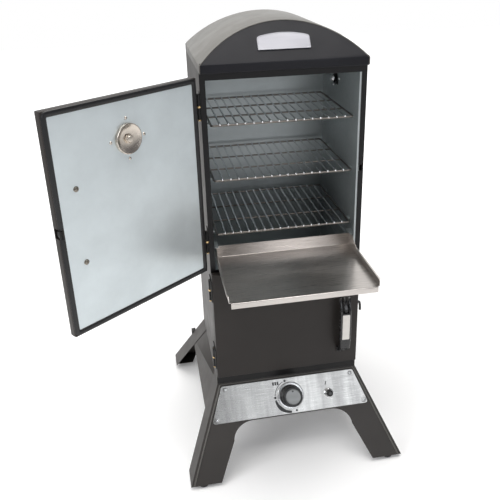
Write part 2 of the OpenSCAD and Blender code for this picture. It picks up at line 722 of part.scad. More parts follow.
module thermo_case() color("#c6c9cb") opened() {
    y0 = door_y - door_t;
    difference() {
        union() {
            ycyl(thermo_x, y0 - 10, y0 - eps, thermo_z, thermo_r);
            ycyl(thermo_x, y0 - eps, door_y + 8, thermo_z, 8);
        }
        ycyl(thermo_x, y0 - 11, y0 - 2, thermo_z, thermo_r - 4);
    }
    ycyl(thermo_x, y0 - 8.6, y0 - 2 - eps, thermo_z, 1);
}

module thermo_dial() color("#ecebe6") opened() difference() {
    ycyl(thermo_x, door_y - door_t - 3, door_y - door_t - 2.05, thermo_z, thermo_r - 4.1);
    ycyl(thermo_x, door_y - door_t - 4, door_y - door_t - 1, thermo_z, 1.4);
}

// Pointer at its cold position, running on the case's spindle.
module thermo_needle() color("#b3261e") opened()
    translate([thermo_x, door_y - door_t - 4.4, thermo_z]) rotate([0, needle_cold, 0]) difference() {
        union() {
            ycyl(0, -1, 0, 0, 4);
            span([-1.1, -1, -9], [1.1, -0.2, 30]);
        }
        ycyl(0, -3, 3, 0, 1 + run);
    }

// Bright dished cup inside the door, with the nut on the thermometer's stem.
module thermo_cup() color("#c2b8a6") opened()
translate([thermo_x, door_y - 0.2, thermo_z]) rotate([-90, 0, 0]) {
    rotate_extrude($fn = 72)
        polygon([[8.06, 3.6], [21, 4.4], [31, 7], [cup_r - 1.5, 8], [cup_r, 6], [cup_r, 0.02],
            [cup_r - 1.2, 0.02], [cup_r - 1.2, 5.6], [cup_r - 2.4, 6.6], [31.4, 5.8], [21.2, 3.2],
            [8.06, 2.4]]);
    difference() {
        translate([0, 0, 4.6]) cylinder(h = 5, r = 11, $fn = 6);
        cylinder(h = 20, r = 8.06);
    }
    for (a = [0 : 90 : 270]) rotate([0, 0, a]) translate([47, 0, 0.01]) pan_screw(3.6, 2);
}

// ---- lower door ----

module low_door_skin() color("#343336") difference() {
    door_skin(low_lo, low_hi, low_latch_z);
    translate([low_shift, 0, 0]) screw_holes(low_mid);
}

// Inner sheet of the lower door, with the heads of its handle screws.
module low_door_liner() color("#7c8588") {
    door_liner(low_lo, low_hi);
    for (z = [-1, 1])
        ycyl(handle_x + low_shift, door_y - 0.3, door_y + 2.2, low_mid + z * screw_gap / 2, 5.5);
}

module low_door_hinges() color("#1f1f20") for (z = low_hinge_z) hinge_door(z);

// ---- damper and small fittings ----

// Round damper on the right wall: disc with three holes and a finger tab.
module damper() color("#262626") difference() {
    union() {
        xcyl(hw + 0.3, hw + 1.8, vent_y, vent_z, 32);
        xcyl(hw + 1.7, hw + 6, vent_y, vent_z, 9);
        span([hw + 0.3, vent_y - 5, vent_z - 44], [hw + 1.8, vent_y + 5, vent_z - 28]);
        span([hw + 0.3, vent_y - 5, vent_z - 44], [hw + 13, vent_y + 5, vent_z - 42]);
    }
    for (a = [90, 210, 330]) xcyl(hw - 1, hw + 3, vent_y + 18 * cos(a), vent_z + 18 * sin(a), 8);
    xcyl(hw - 1, hw + 7, vent_y, vent_z, 3 + run);
}

// Damper bolt with its inner hub, catch screws, tool hook and hinge screws.
module hardware() color("#8d8f91") {
    xcyl(in_x - 18, hw + 9, vent_y, vent_z, 3);
    xcyl(in_x - 16, in_x - liner_t - 0.15, vent_y, vent_z, 7);
    xcyl(in_x - 6, in_x - liner_t - 0.15, vent_y, vent_z, 9.5);
    xcyl(hw + 7, hw + 9.5, vent_y, vent_z, 6);
    for (z = [latch_z + 4, latch_z + 23]) xcyl(hw + 0.02, hw + 2.6, -hd + 10, z, 3.2);
    span([hw + 0.02, -154, 424], [hw + 2, -142, 462]);
    span([hw + 0.02, -151, 446], [hw + 20, -145, 451]);
    translate([hw + 19, -151, 446]) rotate([0, 28, 0]) cube([5, 6, 12]);
    span([hw + 20, -151, 428], [hw + 25.5, -145, 449]);
    for (z = concat(main_hinge_z, low_hinge_z), k = [14, 50])
        translate([-hw - 3, -hd + 20, z + k]) rotate([0, -90, 0]) pan_screw(4, 2.2);
    mirror([0, 1, 0]) on_front() translate([-258, -118, 0.05]) difference() {
        cube([14, 22, 16]);
        translate([-1, 7, 3]) cube([16, 9, 20]);
    }
}

left_wall();
right_wall();
back_wall();
front_frame();
upper_liner();
lower_liner();
ceiling_liner();
floor_pan();
roof_shell();
roof_front();
roof_back_panel();
badge_plate();
front_legs();
rear_legs();
side_skirts();
feet();
control_plate();
panel_screws();
knob_bezel();
burner_knob();
knob_insert();
valve_stem();
gas_valve();
gas_inlet();
igniter_body();
igniter_button();
burner();
burner_tube();
burner_bracket();
smoker_box();
smoker_lid();
water_bowl();
bowl_support();
cooking_racks();
tray_rails();
shelf_tray();
hinge_brackets();
hinge_pins();
main_door_skin();
main_door_liner();
main_door_gasket();
main_door_hinges();
main_handle();
handle_plate();
main_trigger();
main_latch();
handle_screws();
thermo_case();
thermo_dial();
thermo_needle();
thermo_cup();
low_door_skin();
low_door_liner();
low_door_hinges();
low_handle();
low_plate();
low_trigger();
low_latch();
damper();
hardware();
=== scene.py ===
"""Looks of a two-door vertical water smoker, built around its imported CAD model.

Shapes are made in millimetres in the row frame and scaled to metres by piece().
The upper door's pieces are made with the door shut and swung open by SWING.
"""
import json
import math

import bmesh
import bpy
from mathutils import Matrix, Vector


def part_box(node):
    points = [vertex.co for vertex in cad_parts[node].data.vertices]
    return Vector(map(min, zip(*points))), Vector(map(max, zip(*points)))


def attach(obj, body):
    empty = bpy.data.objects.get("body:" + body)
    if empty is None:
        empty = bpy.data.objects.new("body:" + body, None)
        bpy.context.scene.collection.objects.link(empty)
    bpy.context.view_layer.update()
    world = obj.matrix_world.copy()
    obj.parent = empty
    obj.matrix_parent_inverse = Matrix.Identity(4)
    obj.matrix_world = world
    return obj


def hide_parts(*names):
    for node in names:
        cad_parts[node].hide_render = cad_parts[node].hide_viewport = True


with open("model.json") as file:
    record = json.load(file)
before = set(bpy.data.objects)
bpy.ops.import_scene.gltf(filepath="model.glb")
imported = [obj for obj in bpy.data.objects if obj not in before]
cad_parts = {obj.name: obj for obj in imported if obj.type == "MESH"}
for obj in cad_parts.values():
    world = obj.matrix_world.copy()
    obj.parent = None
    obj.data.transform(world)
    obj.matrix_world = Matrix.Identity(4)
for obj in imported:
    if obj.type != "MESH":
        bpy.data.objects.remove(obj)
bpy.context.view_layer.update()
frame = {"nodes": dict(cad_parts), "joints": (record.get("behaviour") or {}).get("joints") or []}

MM = 0.001
TAU = 2 * math.pi
# Radius in metres of the patch of floor that is lifted towards white.
FLOOR_GLOW = 3.2


# ---- sizes read from the frame, in millimetres ----

def span_of(node):
    """Lowest and highest corner of a CAD node, in millimetres."""
    low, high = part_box(node)
    return Vector(low) / MM, Vector(high) / MM


JOINTS = {joint["name"]: joint for joint in frame["joints"]}
WALL_LO, WALL_HI = span_of("front_frame")
HALF_W = WALL_HI.x
HALF_D = -WALL_LO.y
CAB_BOT = WALL_LO.z
ROOF_LO, ROOF_HI = span_of("roof_shell")
LEG_LO, LEG_HI = span_of("front_legs")
LOW_LO, LOW_HI = span_of("low_door_skin")
HINGE = Vector(JOINTS["main_door_hinge"]["pos_m"]) / MM
DOOR_OPEN = math.radians(JOINTS["main_door_hinge"]["range_deg"][1])
SWING = Matrix.Translation(HINGE) @ Matrix.Rotation(-DOOR_OPEN, 4, "Z") @ Matrix.Translation(-HINGE)

# Both doors share one width, thickness and face position when shut.
DOOR_X0, DOOR_X1 = LOW_LO.x, LOW_HI.x
DOOR_FACE, DOOR_BACK = LOW_LO.y, LOW_HI.y
MAIN_Z = (639, 1166)
LOW_Z = (LOW_LO.z, LOW_HI.z)
RIM = 14
LATCH_Z = 899
LATCH_HALF = 12
HINGE_Z = {"main": (694, 1062), "low": (320, 545)}
HINGE_H = 64
HANDLES = {"main": Vector((DOOR_X0 + 367.5, 0, 899.5)), "low": Vector((DOOR_X0 + 376.5, 0, 437.5))}
HANDLE_SCREW = 87.5
THERMO = Vector((DOOR_X0 + 218, 0, 1065))

# The sloping front panel's own frame: x right, y up the slope, z outwards.
FOOT_DROP = CAB_BOT - LEG_LO.z
FRONT_RUN = -LEG_LO.y - HALF_D
FRONT_TILT = math.atan2(FRONT_RUN, FOOT_DROP)
SLOPE_LEN = math.hypot(FRONT_RUN, FOOT_DROP)
SLOPE = Matrix.Translation((0, -HALF_D, CAB_BOT)) @ Matrix.Rotation(math.pi / 2 - FRONT_TILT, 4, "X")
KNOB = Vector((2, -64, 0))
IGNITER = Vector((121, -72, 0))
PRINT = 0.15

# The roof's ends lean inwards above the spring line by LEAN mm a mm.
LEAN = 0.71
SPRING = ROOF_LO.z + 19
END_Y = ROOF_LO.y + 1.5
SHEET = 1.4
ROOF_SLOPE = Matrix.Translation((0, END_Y, SPRING)) @ Matrix.Rotation(math.pi / 2 - math.atan(LEAN), 4, "X")


# ---- materials ----

class Finish:
    """A Principled material with a few shared procedural steps."""

    def __init__(self, name, colour, metal=0.0, rough=0.5, **sockets):
        self.mat = bpy.data.materials.new(name)
        self.mat.use_nodes = True
        self.nodes = self.mat.node_tree.nodes
        self.links = self.mat.node_tree.links
        self.bsdf = self.nodes["Principled BSDF"]
        self.colour = (*colour, 1)
        self.rough = rough
        self.set("Base Color", self.colour)
        self.set("Metallic", metal)
        self.set("Roughness", rough)
        for socket, value in sockets.items():
            self.set(socket.replace("_", " "), value)
        self.place = self.nodes.new("ShaderNodeTexCoord").outputs["Object"]
        self.normal = None

    def set(self, socket, value):
        self.bsdf.inputs[socket].default_value = value

    def scaled(self, sizes):
        """Object coordinates in units of sizes metres along x, y and z."""
        mapping = self.nodes.new("ShaderNodeMapping")
        mapping.inputs["Scale"].default_value = [1 / size for size in sizes]
        self.links.new(self.place, mapping.inputs["Vector"])
        return mapping.outputs["Vector"]

    def noise(self, size, stretch=(1, 1, 1), detail=4, rough=0.55):
        """Noise with features about size mm across, stretched along an axis."""
        noise = self.nodes.new("ShaderNodeTexNoise")
        noise.inputs["Scale"].default_value = 1
        noise.inputs["Detail"].default_value = detail
        noise.inputs["Roughness"].default_value = rough
        self.links.new(self.scaled([size * MM * s for s in stretch]), noise.inputs["Vector"])
        return noise.outputs["Fac"]

    def cells(self, size):
        """Crystal-like cells about size mm across."""
        cells = self.nodes.new("ShaderNodeTexVoronoi")
        cells.inputs["Scale"].default_value = 1
        self.links.new(self.scaled([size * MM] * 3), cells.inputs["Vector"])
        split = self.nodes.new("ShaderNodeSeparateColor")
        self.links.new(cells.outputs["Color"], split.inputs["Color"])
        return split.outputs["Red"]

    def ramp(self, value, low, high, start=0.3, end=0.7):
        """Maps a 0-1 value to a smooth range of colours or greys."""
        ramp = self.nodes.new("ShaderNodeValToRGB")
        first, last = ramp.color_ramp.elements
        first.position, last.position = start, end
        first.color = low if isinstance(low, tuple) else (low, low, low, 1)
        last.color = high if isinstance(high, tuple) else (high, high, high, 1)
        self.links.new(value, ramp.inputs["Fac"])
        return ramp.outputs["Color"]

    def tint(self, value, amount):
        """Varies the colour by plus or minus amount of itself."""
        low = tuple(c * (1 - amount) for c in self.colour[:3]) + (1,)
        high = tuple(min(c * (1 + amount), 1) for c in self.colour[:3]) + (1,)
        self.links.new(self.ramp(value, low, high), self.bsdf.inputs["Base Color"])

    def vary_rough(self, value, amount):
        """Varies the roughness by plus or minus amount."""
        out = self.ramp(value, max(self.rough - amount, 0.02), self.rough + amount)
        self.links.new(out, self.bsdf.inputs["Roughness"])

    def bump(self, value, height, strength=1.0):
        """Adds a bump of about height mm."""
        bump = self.nodes.new("ShaderNodeBump")
        bump.inputs["Distance"].default_value = height * MM
        bump.inputs["Strength"].default_value = strength
        self.links.new(value, bump.inputs["Height"])
        if self.normal:
            self.links.new(self.normal, bump.inputs["Normal"])
        self.normal = bump.outputs["Normal"]
        self.links.new(self.normal, self.bsdf.inputs["Normal"])


def enamel(name, colour, rough=0.42, shine=0.28):
    """Satin baked enamel with faint orange peel and dust-like unevenness."""
    made = Finish(name, colour, rough=rough, Specular_IOR_Level=shine, Coat_Weight=0.04, Coat_Roughness=0.3)
    made.tint(made.noise(160, detail=3), 0.10)
    made.vary_rough(made.noise(45, detail=5), 0.05)
    made.bump(made.noise(1.6, detail=2), 0.05)
    return made.mat


def aluminised(name, colour, rough, metal):
    """Dull hot-dip coated sheet with faint spangle, smears and soft waviness."""
    made = Finish(name, colour, metal=metal, rough=rough)
    made.tint(made.noise(120, detail=6), 0.07)
    made.vary_rough(made.cells(7), 0.035)
    made.bump(made.noise(0.9, detail=2), 0.012)
    made.bump(made.noise(90, detail=1), 0.25)
    return made.mat


def brushed(name, colour, along=(60, 1, 1), rough=0.3, across=(4, 1, 1), painted_sheen=0.08):
    """Stainless sheet brushed along the stretched axis, its colour lighter and darker in broad bands as
    painted sheen.
    """
    made = Finish(name, colour, metal=1, rough=rough, Anisotropic=0.35)
    lines = made.noise(0.9, stretch=along, detail=6, rough=0.7)
    made.tint(made.noise(60, stretch=across, detail=3), painted_sheen)
    made.vary_rough(lines, 0.08)
    made.bump(lines, 0.02)
    return made.mat


def plated(name, colour, rough):
    """Bright plating with slight cloudiness."""
    made = Finish(name, colour, metal=1, rough=rough)
    made.vary_rough(made.noise(14, detail=5), 0.06)
    made.tint(made.noise(30), 0.05)
    made.bump(made.noise(2.5, detail=3), 0.015)
    return made.mat


def moulded(name, colour, rough=0.35, grain=0.03):
    """Moulded plastic with a fine spark-eroded grain."""
    made = Finish(name, colour, rough=rough, Coat_Weight=0.2, Coat_Roughness=0.2)
    made.tint(made.noise(25), 0.12)
    made.vary_rough(made.noise(8), 0.05)
    made.bump(made.noise(0.6, detail=2), grain)
    return made.mat


def cast(name, colour):
    """Rough dark metal, darkened by heat."""
    made = Finish(name, colour, metal=0.3, rough=0.7)
    made.tint(made.noise(18, detail=8), 0.3)
    made.vary_rough(made.noise(6), 0.1)
    made.bump(made.noise(1.2, detail=5), 0.12)
    return made.mat


def woven_seal(name):
    """Black braided rope seal."""
    made = Finish(name, (0.007, 0.007, 0.008), rough=0.34, Sheen_Weight=0.05)
    made.tint(made.noise(6), 0.3)
    made.vary_rough(made.noise(5), 0.08)
    wave = made.nodes.new("ShaderNodeTexWave")
    wave.bands_direction = "DIAGONAL"
    wave.inputs["Scale"].default_value = 1 / (12 * MM)
    wave.inputs["Distortion"].default_value = 1.5
    made.links.new(made.place, wave.inputs["Vector"])
    made.bump(wave.outputs["Fac"], 0.2, 0.5)
    return made.mat


def clear_glass(name):
    """Clear pane with slightly uneven gloss."""
    made = Finish(name, (0.95, 0.97, 0.97), rough=0.04, Transmission_Weight=1.0, IOR=1.45)
    made.vary_rough(made.noise(30), 0.02)
    return made.mat


def studio_floor():
    """White floor, lifted a little for the camera so that only the soft shadow shows."""
    made = Finish("pale_floor", (0.92, 0.92, 0.92), rough=0.7, Specular_IOR_Level=0.1)
    made.tint(made.noise(900, detail=2), 0.01)
    ball = made.nodes.new("ShaderNodeTexGradient")
    ball.gradient_type = "SPHERICAL"
    made.links.new(made.scaled([FLOOR_GLOW] * 3), ball.inputs["Vector"])
    made.links.new(made.ramp(ball.outputs["Fac"], 0.8, 0.12, 0.15, 0.8), made.bsdf.inputs["Emission Color"])
    seen = made.nodes.new("ShaderNodeLightPath").outputs["Is Camera Ray"]
    made.links.new(seen, made.bsdf.inputs["Emission Strength"])
    return made.mat


# The charcoal enamels below are copies of one paint, made lighter or darker to stand in for light and shade:
# the roof's top (also used on the leg beads) is a lighter copy as painted sheen, the walls, legs and skirts a
# lighter copy as painted light from the left, the front frame and the roof's front end darker copies as
# painted shade, and the doors a mid copy.
ENAMEL = enamel("charcoal_enamel", (0.006, 0.0055, 0.006))
DOOR_ENAMEL = enamel("charcoal_enamel_doors", (0.023, 0.019, 0.017))
SHADED_ROOF_FACE = enamel("charcoal_enamel_roof_face_painted_shade", (0.009, 0.009, 0.012), 0.45, 0.22)
SHEEN_ROOF_ENAMEL = enamel("charcoal_enamel_roof", (0.10, 0.095, 0.085), 0.38, 0.6)
LIT_SIDE_ENAMEL = enamel("charcoal_enamel_sides_painted_light", (0.045, 0.041, 0.038), 0.46)
LINER = aluminised("aluminised_liner", (0.43, 0.465, 0.47), 0.38, 0.7)
DOOR_LINER = aluminised("aluminised_door", (0.70, 0.765, 0.785), 0.36, 0.6)
TRAY_STEEL = brushed("tray_steel", (0.60, 0.565, 0.535), rough=0.3)
PANEL_STEEL = brushed("panel_steel", (0.37, 0.37, 0.36), rough=0.3, across=(0.45, 5, 5), painted_sheen=0.3)
BADGE_STEEL = brushed("badge_steel", (0.30, 0.30, 0.325), rough=0.45)
INLAY_STEEL = brushed("inlay_steel", (0.62, 0.60, 0.57), along=(1, 1, 60), rough=0.4)
WIRE = plated("rack_plating", (0.74, 0.75, 0.76), 0.18)
WIRE_FRAME = plated("rack_frame_plating", (0.20, 0.185, 0.17), 0.34)
CHROME = plated("bright_chrome", (0.86, 0.87, 0.88), 0.12)
ZINC = plated("zinc_fasteners", (0.66, 0.67, 0.67), 0.3)
DARK_ZINC = plated("dark_zinc_screws", (0.30, 0.27, 0.23), 0.22)
CUP_METAL = plated("thermometer_cup", (0.66, 0.60, 0.53), 0.24)
BRASS = plated("brass", (0.72, 0.52, 0.26), 0.25)
BLACK = moulded("black_moulding", (0.010, 0.010, 0.011), 0.26)
RUBBER = moulded("foot_rubber", (0.02, 0.02, 0.021), 0.6, 0.08)
KNOB_BLACK = moulded("knob_black", (0.014, 0.014, 0.014), 0.33)
KNOB_GREY = brushed("knob_insert_grey", (0.25, 0.255, 0.25), along=(1, 1, 1), rough=0.4, painted_sheen=0.2)
HINGE_BLACK = enamel("hinge_black", (0.010, 0.010, 0.010), 0.35)
IRON = cast("burner_iron", (0.09, 0.085, 0.08))
SEAL = woven_seal("rope_seal")
INK = moulded("black_print", (0.01, 0.01, 0.01), 0.5, 0.005)
DIAL = moulded("dial_face", (0.84, 0.83, 0.79), 0.5, 0.005)
RED = moulded("needle_red", (0.5, 0.03, 0.02), 0.35, 0.005)
DARK = moulded("slot_shadow", (0.004, 0.004, 0.004), 0.8, 0.02)
GLASS = clear_glass("dial_glass")


# ---- mesh making ----

def fillet(points, radius, steps=5, closed=True):
    """A 2-D outline with its corners rounded; radius is one number or one for each corner."""
    count = len(points)
    radii = radius if isinstance(radius, (list, tuple)) else [radius] * count
    out = []
    for i, point in enumerate(points):
        here = Vector(point)
        if not closed and i in (0, count - 1) or radii[i] <= 0:
            out.append(here)
            continue
        back = Vector(points[i - 1]) - here
        ahead = Vector(points[(i + 1) % count]) - here
        half = back.angle(ahead) / 2
        reach = min(radii[i] / math.tan(half), back.length * 0.49, ahead.length * 0.49)
        start = here + back.normalized() * reach
        end = here + ahead.normalized() * reach
        for k in range(steps + 1):
            t = k / steps
            out.append(start * (1 - t) ** 2 + here * 2 * t * (1 - t) + end * t ** 2)
    return out


def oblong(x0, y0, x1, y1):
    """Corners of an upright rectangle, from its lower left one round."""
    return [(x0, y0), (x1, y0), (x1, y1), (x0, y1)]


def shift(x, y, z=0):
    return Matrix.Translation((x, y, z))


def upright(y):
    """Stands a local x-y shape up in the x-z plane at y, its thickness towards the front."""
    return shift(0, y) @ Matrix.Rotation(math.pi / 2, 4, "X")


def sideways(x, y=0, z=0):
    """Stands a local x-y shape up in the y-z plane, its thickness towards +x."""
    return Matrix(((0, 0, 1, x), (1, 0, 0, y), (0, 1, 0, z), (0, 0, 0, 1)))


def circle(radius, centre=(0, 0), steps=40):
    return [Vector((centre[0] + radius * math.cos(TAU * k / steps),
                    centre[1] + radius * math.sin(TAU * k / steps))) for k in range(steps)]


def slab(outline, thick, edge=0.4, holes=(), at=Matrix()):
    """A plate with rounded edges from z = 0 to thick, with any holes, then placed by at."""
    curve = bpy.data.curves.new("slab", "CURVE")
    curve.dimensions = "2D"
    curve.fill_mode = "BOTH"
    edge = min(edge, thick * 0.49)
    curve.extrude = thick / 2 - edge
    curve.bevel_depth = edge
    curve.bevel_resolution = 2
    curve.offset = -edge
    for loop in (outline, *holes):
        spline = curve.splines.new("POLY")
        spline.points.add(len(loop) - 1)
        for point, xy in zip(spline.points, loop):
            point.co = (xy[0], xy[1], 0, 1)
        spline.use_cyclic_u = True
    holder = bpy.data.objects.new("slab", curve)
    mesh = bpy.data.meshes.new_from_object(holder)
    bpy.data.objects.remove(holder)
    mesh.transform(at @ Matrix.Translation((0, 0, thick / 2)))
    return mesh


def block(low, high, radius=1.0, steps=3, at=Matrix()):
    """A box with rounded edges between two corners."""
    low, high = Vector(low), Vector(high)
    bm = bmesh.new()
    bmesh.ops.create_cube(bm, size=1)
    bmesh.ops.scale(bm, vec=high - low, verts=bm.verts)
    bmesh.ops.translate(bm, vec=(low + high) / 2, verts=bm.verts)
    bmesh.ops.bevel(bm, geom=bm.edges[:], offset=radius, segments=steps, profile=0.5, affect="EDGES")
    mesh = bpy.data.meshes.new("block")
    bm.to_mesh(mesh)
    bm.free()
    mesh.transform(at)
    return mesh


def skin_rings(rings, closed=False):
    """Joins rings of points, each as long as the next; closed meets the first again, else ends are capped."""
    bm = bmesh.new()
    made = [[bm.verts.new(p) for p in ring] for ring in rings]
    pairs = list(zip(made, made[1:])) + ([(made[-1], made[0])] if closed else [])
    for one, two in pairs:
        for k in range(len(one)):
            bm.faces.new((one[k - 1], one[k], two[k], two[k - 1]))
    if not closed:
        bm.faces.new(list(reversed(made[0])))
        bm.faces.new(made[-1])
    bmesh.ops.remove_doubles(bm, verts=bm.verts, dist=1e-4)
    bmesh.ops.recalc_face_normals(bm, faces=bm.faces)
    mesh = bpy.data.meshes.new("rings")
    bm.to_mesh(mesh)
    bm.free()
    return mesh


def lathe(profile, steps=64, at=Matrix(), flutes=0, depth=0.0):
    """A turned shape about local z; its (radius, height) profile runs round a closed section.

    Profile points with a third value are cut by flutes of the given depth.
    """
    rings = []
    for k in range(steps):
        angle = TAU * k / steps
        cut = depth * (0.5 + 0.5 * math.cos(flutes * angle)) if flutes else 0
        ring = []
        for r, z, *fluted in profile:
            radius = max(r - (cut if fluted else 0), 0.001)
            ring.append(Vector((radius * math.cos(angle), radius * math.sin(angle), z)))
        rings.append(ring)
    mesh = skin_rings(rings, closed=True)
    mesh.transform(at)
    return mesh


def smooth_path(points, steps=6):
    """Catmull-Rom curve through points of any dimension."""
    pts = [Vector(p) for p in points]
    pts = [pts[0] * 2 - pts[1], *pts, pts[-1] * 2 - pts[-2]]
    out = []
    for a, b, c, d in zip(pts, pts[1:], pts[2:], pts[3:]):
        for k in range(steps):
            t = k / steps
            out.append(0.5 * (2 * b + (c - a) * t + (2 * a - 5 * b + 4 * c - d) * t * t
                              + (3 * b - a - 3 * c + d) * t ** 3))
    out.append(pts[-2])
    return out


def tube(points, radius, sides=12, closed=False, flat=1.0, at=Matrix()):
    """A round rod along points with domed ends; flat squeezes it along its up direction."""
    pts = [Vector(p) for p in points]
    count = len(pts)
    rings = []
    up = None
    for i, point in enumerate(pts):
        if closed:
            ahead = (pts[(i + 1) % count] - pts[i - 1]).normalized()
        else:
            ahead = (pts[min(i + 1, count - 1)] - pts[max(i - 1, 0)]).normalized()
        if up is None:
            up = Vector((0, 1, 0)) if abs(ahead.y) < 0.9 else Vector((0, 0, 1))
        up = (up - ahead * up.dot(ahead)).normalized()
        side = ahead.cross(up)
        places = [(0, 1)]
        if not closed and i == 0:
            places = [(-0.98, 0.12), (-0.8, 0.6), (-0.45, 0.89), (0, 1)]
        elif not closed and i == count - 1:
            places = [(0, 1), (0.45, 0.89), (0.8, 0.6), (0.98, 0.12)]
        for along, wide in places:
            centre = point + ahead * radius * along
            rings.append([centre + wide * radius * (side * math.cos(a) + up * flat * math.sin(a))
                          for a in (TAU * k / sides for k in range(sides))])
    mesh = skin_rings(rings, closed=closed)
    mesh.transform(at)
    return mesh


def loft(stations, corner=0.35, steps=4):
    """A bar of rounded-rectangle section through (centre, across, width, out, depth) stations.

    Each station's section is width along its across vector and depth along its out vector.
    """
    rings = []
    for centre, across, width, out, depth in stations:
        w, d = width / 2, depth / 2
        outline = fillet(oblong(-w, -d, w, d), corner * min(width, depth), steps)
        rings.append([centre + across * p[0] + out * p[1] for p in outline])
    return skin_rings(rings)


def bent(path, thick, bend, x0, x1, edge=0.25):
    """Sheet folded along a (y, z) path, with rounded bends, running from x0 to x1."""
    line = fillet(path, bend, closed=False)
    left, right = [], []
    for i, point in enumerate(line):
        ahead = (line[min(i + 1, len(line) - 1)] - line[max(i - 1, 0)]).normalized()
        normal = Vector((-ahead.y, ahead.x)) * thick / 2
        left.append(point + normal)
        right.append(point - normal)
    return slab(left + right[::-1], x1 - x0, edge, at=sideways(x0))


def joined(*meshes, at=Matrix()):
    """One mesh from several."""
    bm = bmesh.new()
    for mesh in meshes:
        bm.from_mesh(mesh)
    bmesh.ops.recalc_face_normals(bm, faces=bm.faces)
    out = bpy.data.meshes.new("joined")
    bm.to_mesh(out)
    bm.free()
    out.transform(at)
    return out


def carve(mesh, *cutters):
    """The mesh with the cutters' shapes taken out of it."""
    for cutter in cutters:
        body = bpy.data.objects.new("carved", mesh)
        tool = bpy.data.objects.new("cutter", cutter)
        for obj in (body, tool):
            bpy.context.scene.collection.objects.link(obj)
        cut = body.modifiers.new("cut", "BOOLEAN")
        cut.operation, cut.solver, cut.object = "DIFFERENCE", "EXACT", tool
        bpy.context.view_layer.update()
        graph = bpy.context.evaluated_depsgraph_get()
        mesh = bpy.data.meshes.new_from_object(body.evaluated_get(graph))
        for obj in (body, tool):
            bpy.data.objects.remove(obj)
    return mesh


def piece(name, mesh, body, material, replaces=(), at=Matrix(), sharp=35):
    """Places a finished mesh as a named piece that rides on a CAD body."""
    mesh.name = name
    mesh.transform(Matrix.Scale(MM, 4) @ at)
    mesh.validate()
    mesh.shade_smooth()
    mesh.set_sharp_from_angle(angle=math.radians(sharp))
    mesh.materials.clear()
    mesh.materials.append(material)
    obj = bpy.data.objects.new(name, mesh)
    bpy.context.scene.collection.objects.link(obj)
    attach(obj, body)
    if replaces:
        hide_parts(*replaces)
    return obj


def facing(origin, direction, spin=0.0):
    """Turns local z to a direction at an origin; spin turns it about that direction first."""
    turn = Vector(direction).to_track_quat("Z", "Y").to_matrix().to_4x4()
    return Matrix.Translation(origin) @ turn @ Matrix.Rotation(spin, 4, "Z")


def screw_head(radius, height, at=Matrix(), spin=0.4):
    """Pan head with a cross recess, seated at local z = 0."""
    head = lathe([(0, 0), (radius, 0), (radius, height * 0.35), (radius * 0.86, height * 0.8),
                  (radius * 0.55, height), (0, height)], 32)
    arm = radius * 0.55
    slot_w = radius * 0.1
    turn = Matrix.Rotation(spin, 4, "Z")
    bars = [block((-arm, -slot_w, height * 0.45), (arm, slot_w, height + 1), slot_w * 0.4, 1, at=turn),
            block((-slot_w, -arm, height * 0.45), (slot_w, arm, height + 1), slot_w * 0.4, 1, at=turn)]
    head = carve(head, *bars)
    head.transform(at)
    return head


def dress(node, material, bevel):
    """Gives a kept CAD node its material and, where bevel isn't 0, softened edges."""
    obj = frame["nodes"][node]
    for holder in obj.material_slots:
        holder.material = material
    if bevel:
        weld = obj.modifiers.new("weld", "WELD")
        weld.merge_threshold = 0.00002
        soft = obj.modifiers.new("soften", "BEVEL")
        soft.width = bevel * MM
        soft.segments = 2
        soft.limit_method = "ANGLE"
        soft.angle_limit = math.radians(40)
        soft.harden_normals = True


# ---- cabinet, roof and badge ----

def dress_cabinet():
    """Materials of the CAD nodes that stay in view as they are."""
    for material, bevel, nodes in (
            (LIT_SIDE_ENAMEL, 0.9, ("left_wall", "right_wall", "back_wall")),
            (LIT_SIDE_ENAMEL, 0.7, ("front_legs", "rear_legs", "side_skirts")),
            (LIT_SIDE_ENAMEL, 0.3, ("roof_back_panel",)),
            (LIT_SIDE_ENAMEL, 0, ("floor_pan",)),
            (ENAMEL, 0.4, ("front_frame",)),
            (LINER, 0, ("upper_liner", "lower_liner", "ceiling_liner", "low_door_liner")),
            (LINER, 0, ("tray_rails", "bowl_support", "water_bowl")),
            (IRON, 0.5, ("burner", "burner_tube", "burner_bracket", "smoker_box", "smoker_lid")),
            (BRASS, 0.4, ("gas_valve", "gas_inlet", "valve_stem"))):
        for node in nodes:
            dress(node, material, bevel)


def roof_arc(inset, z_low):
    """Outline of the arched roof, pulled in by inset and cut off at z_low."""
    steps = 48
    sag = ROOF_HI.z - SPRING
    radius = (HALF_W ** 2 + sag ** 2) / (2 * sag)
    centre = ROOF_HI.z - radius
    r = radius - inset
    half = math.asin((HALF_W - inset) / r)
    arc = [Vector((r * math.sin(a), centre + r * math.cos(a)))
           for a in (half - 2 * half * k / steps for k in range(steps + 1))]
    return [Vector((HALF_W - inset, z_low)), *arc, Vector((-HALF_W + inset, z_low))]


def lean_in(z):
    """How far the roof's ends have moved inwards at height z."""
    return LEAN * max(z - SPRING, 0)


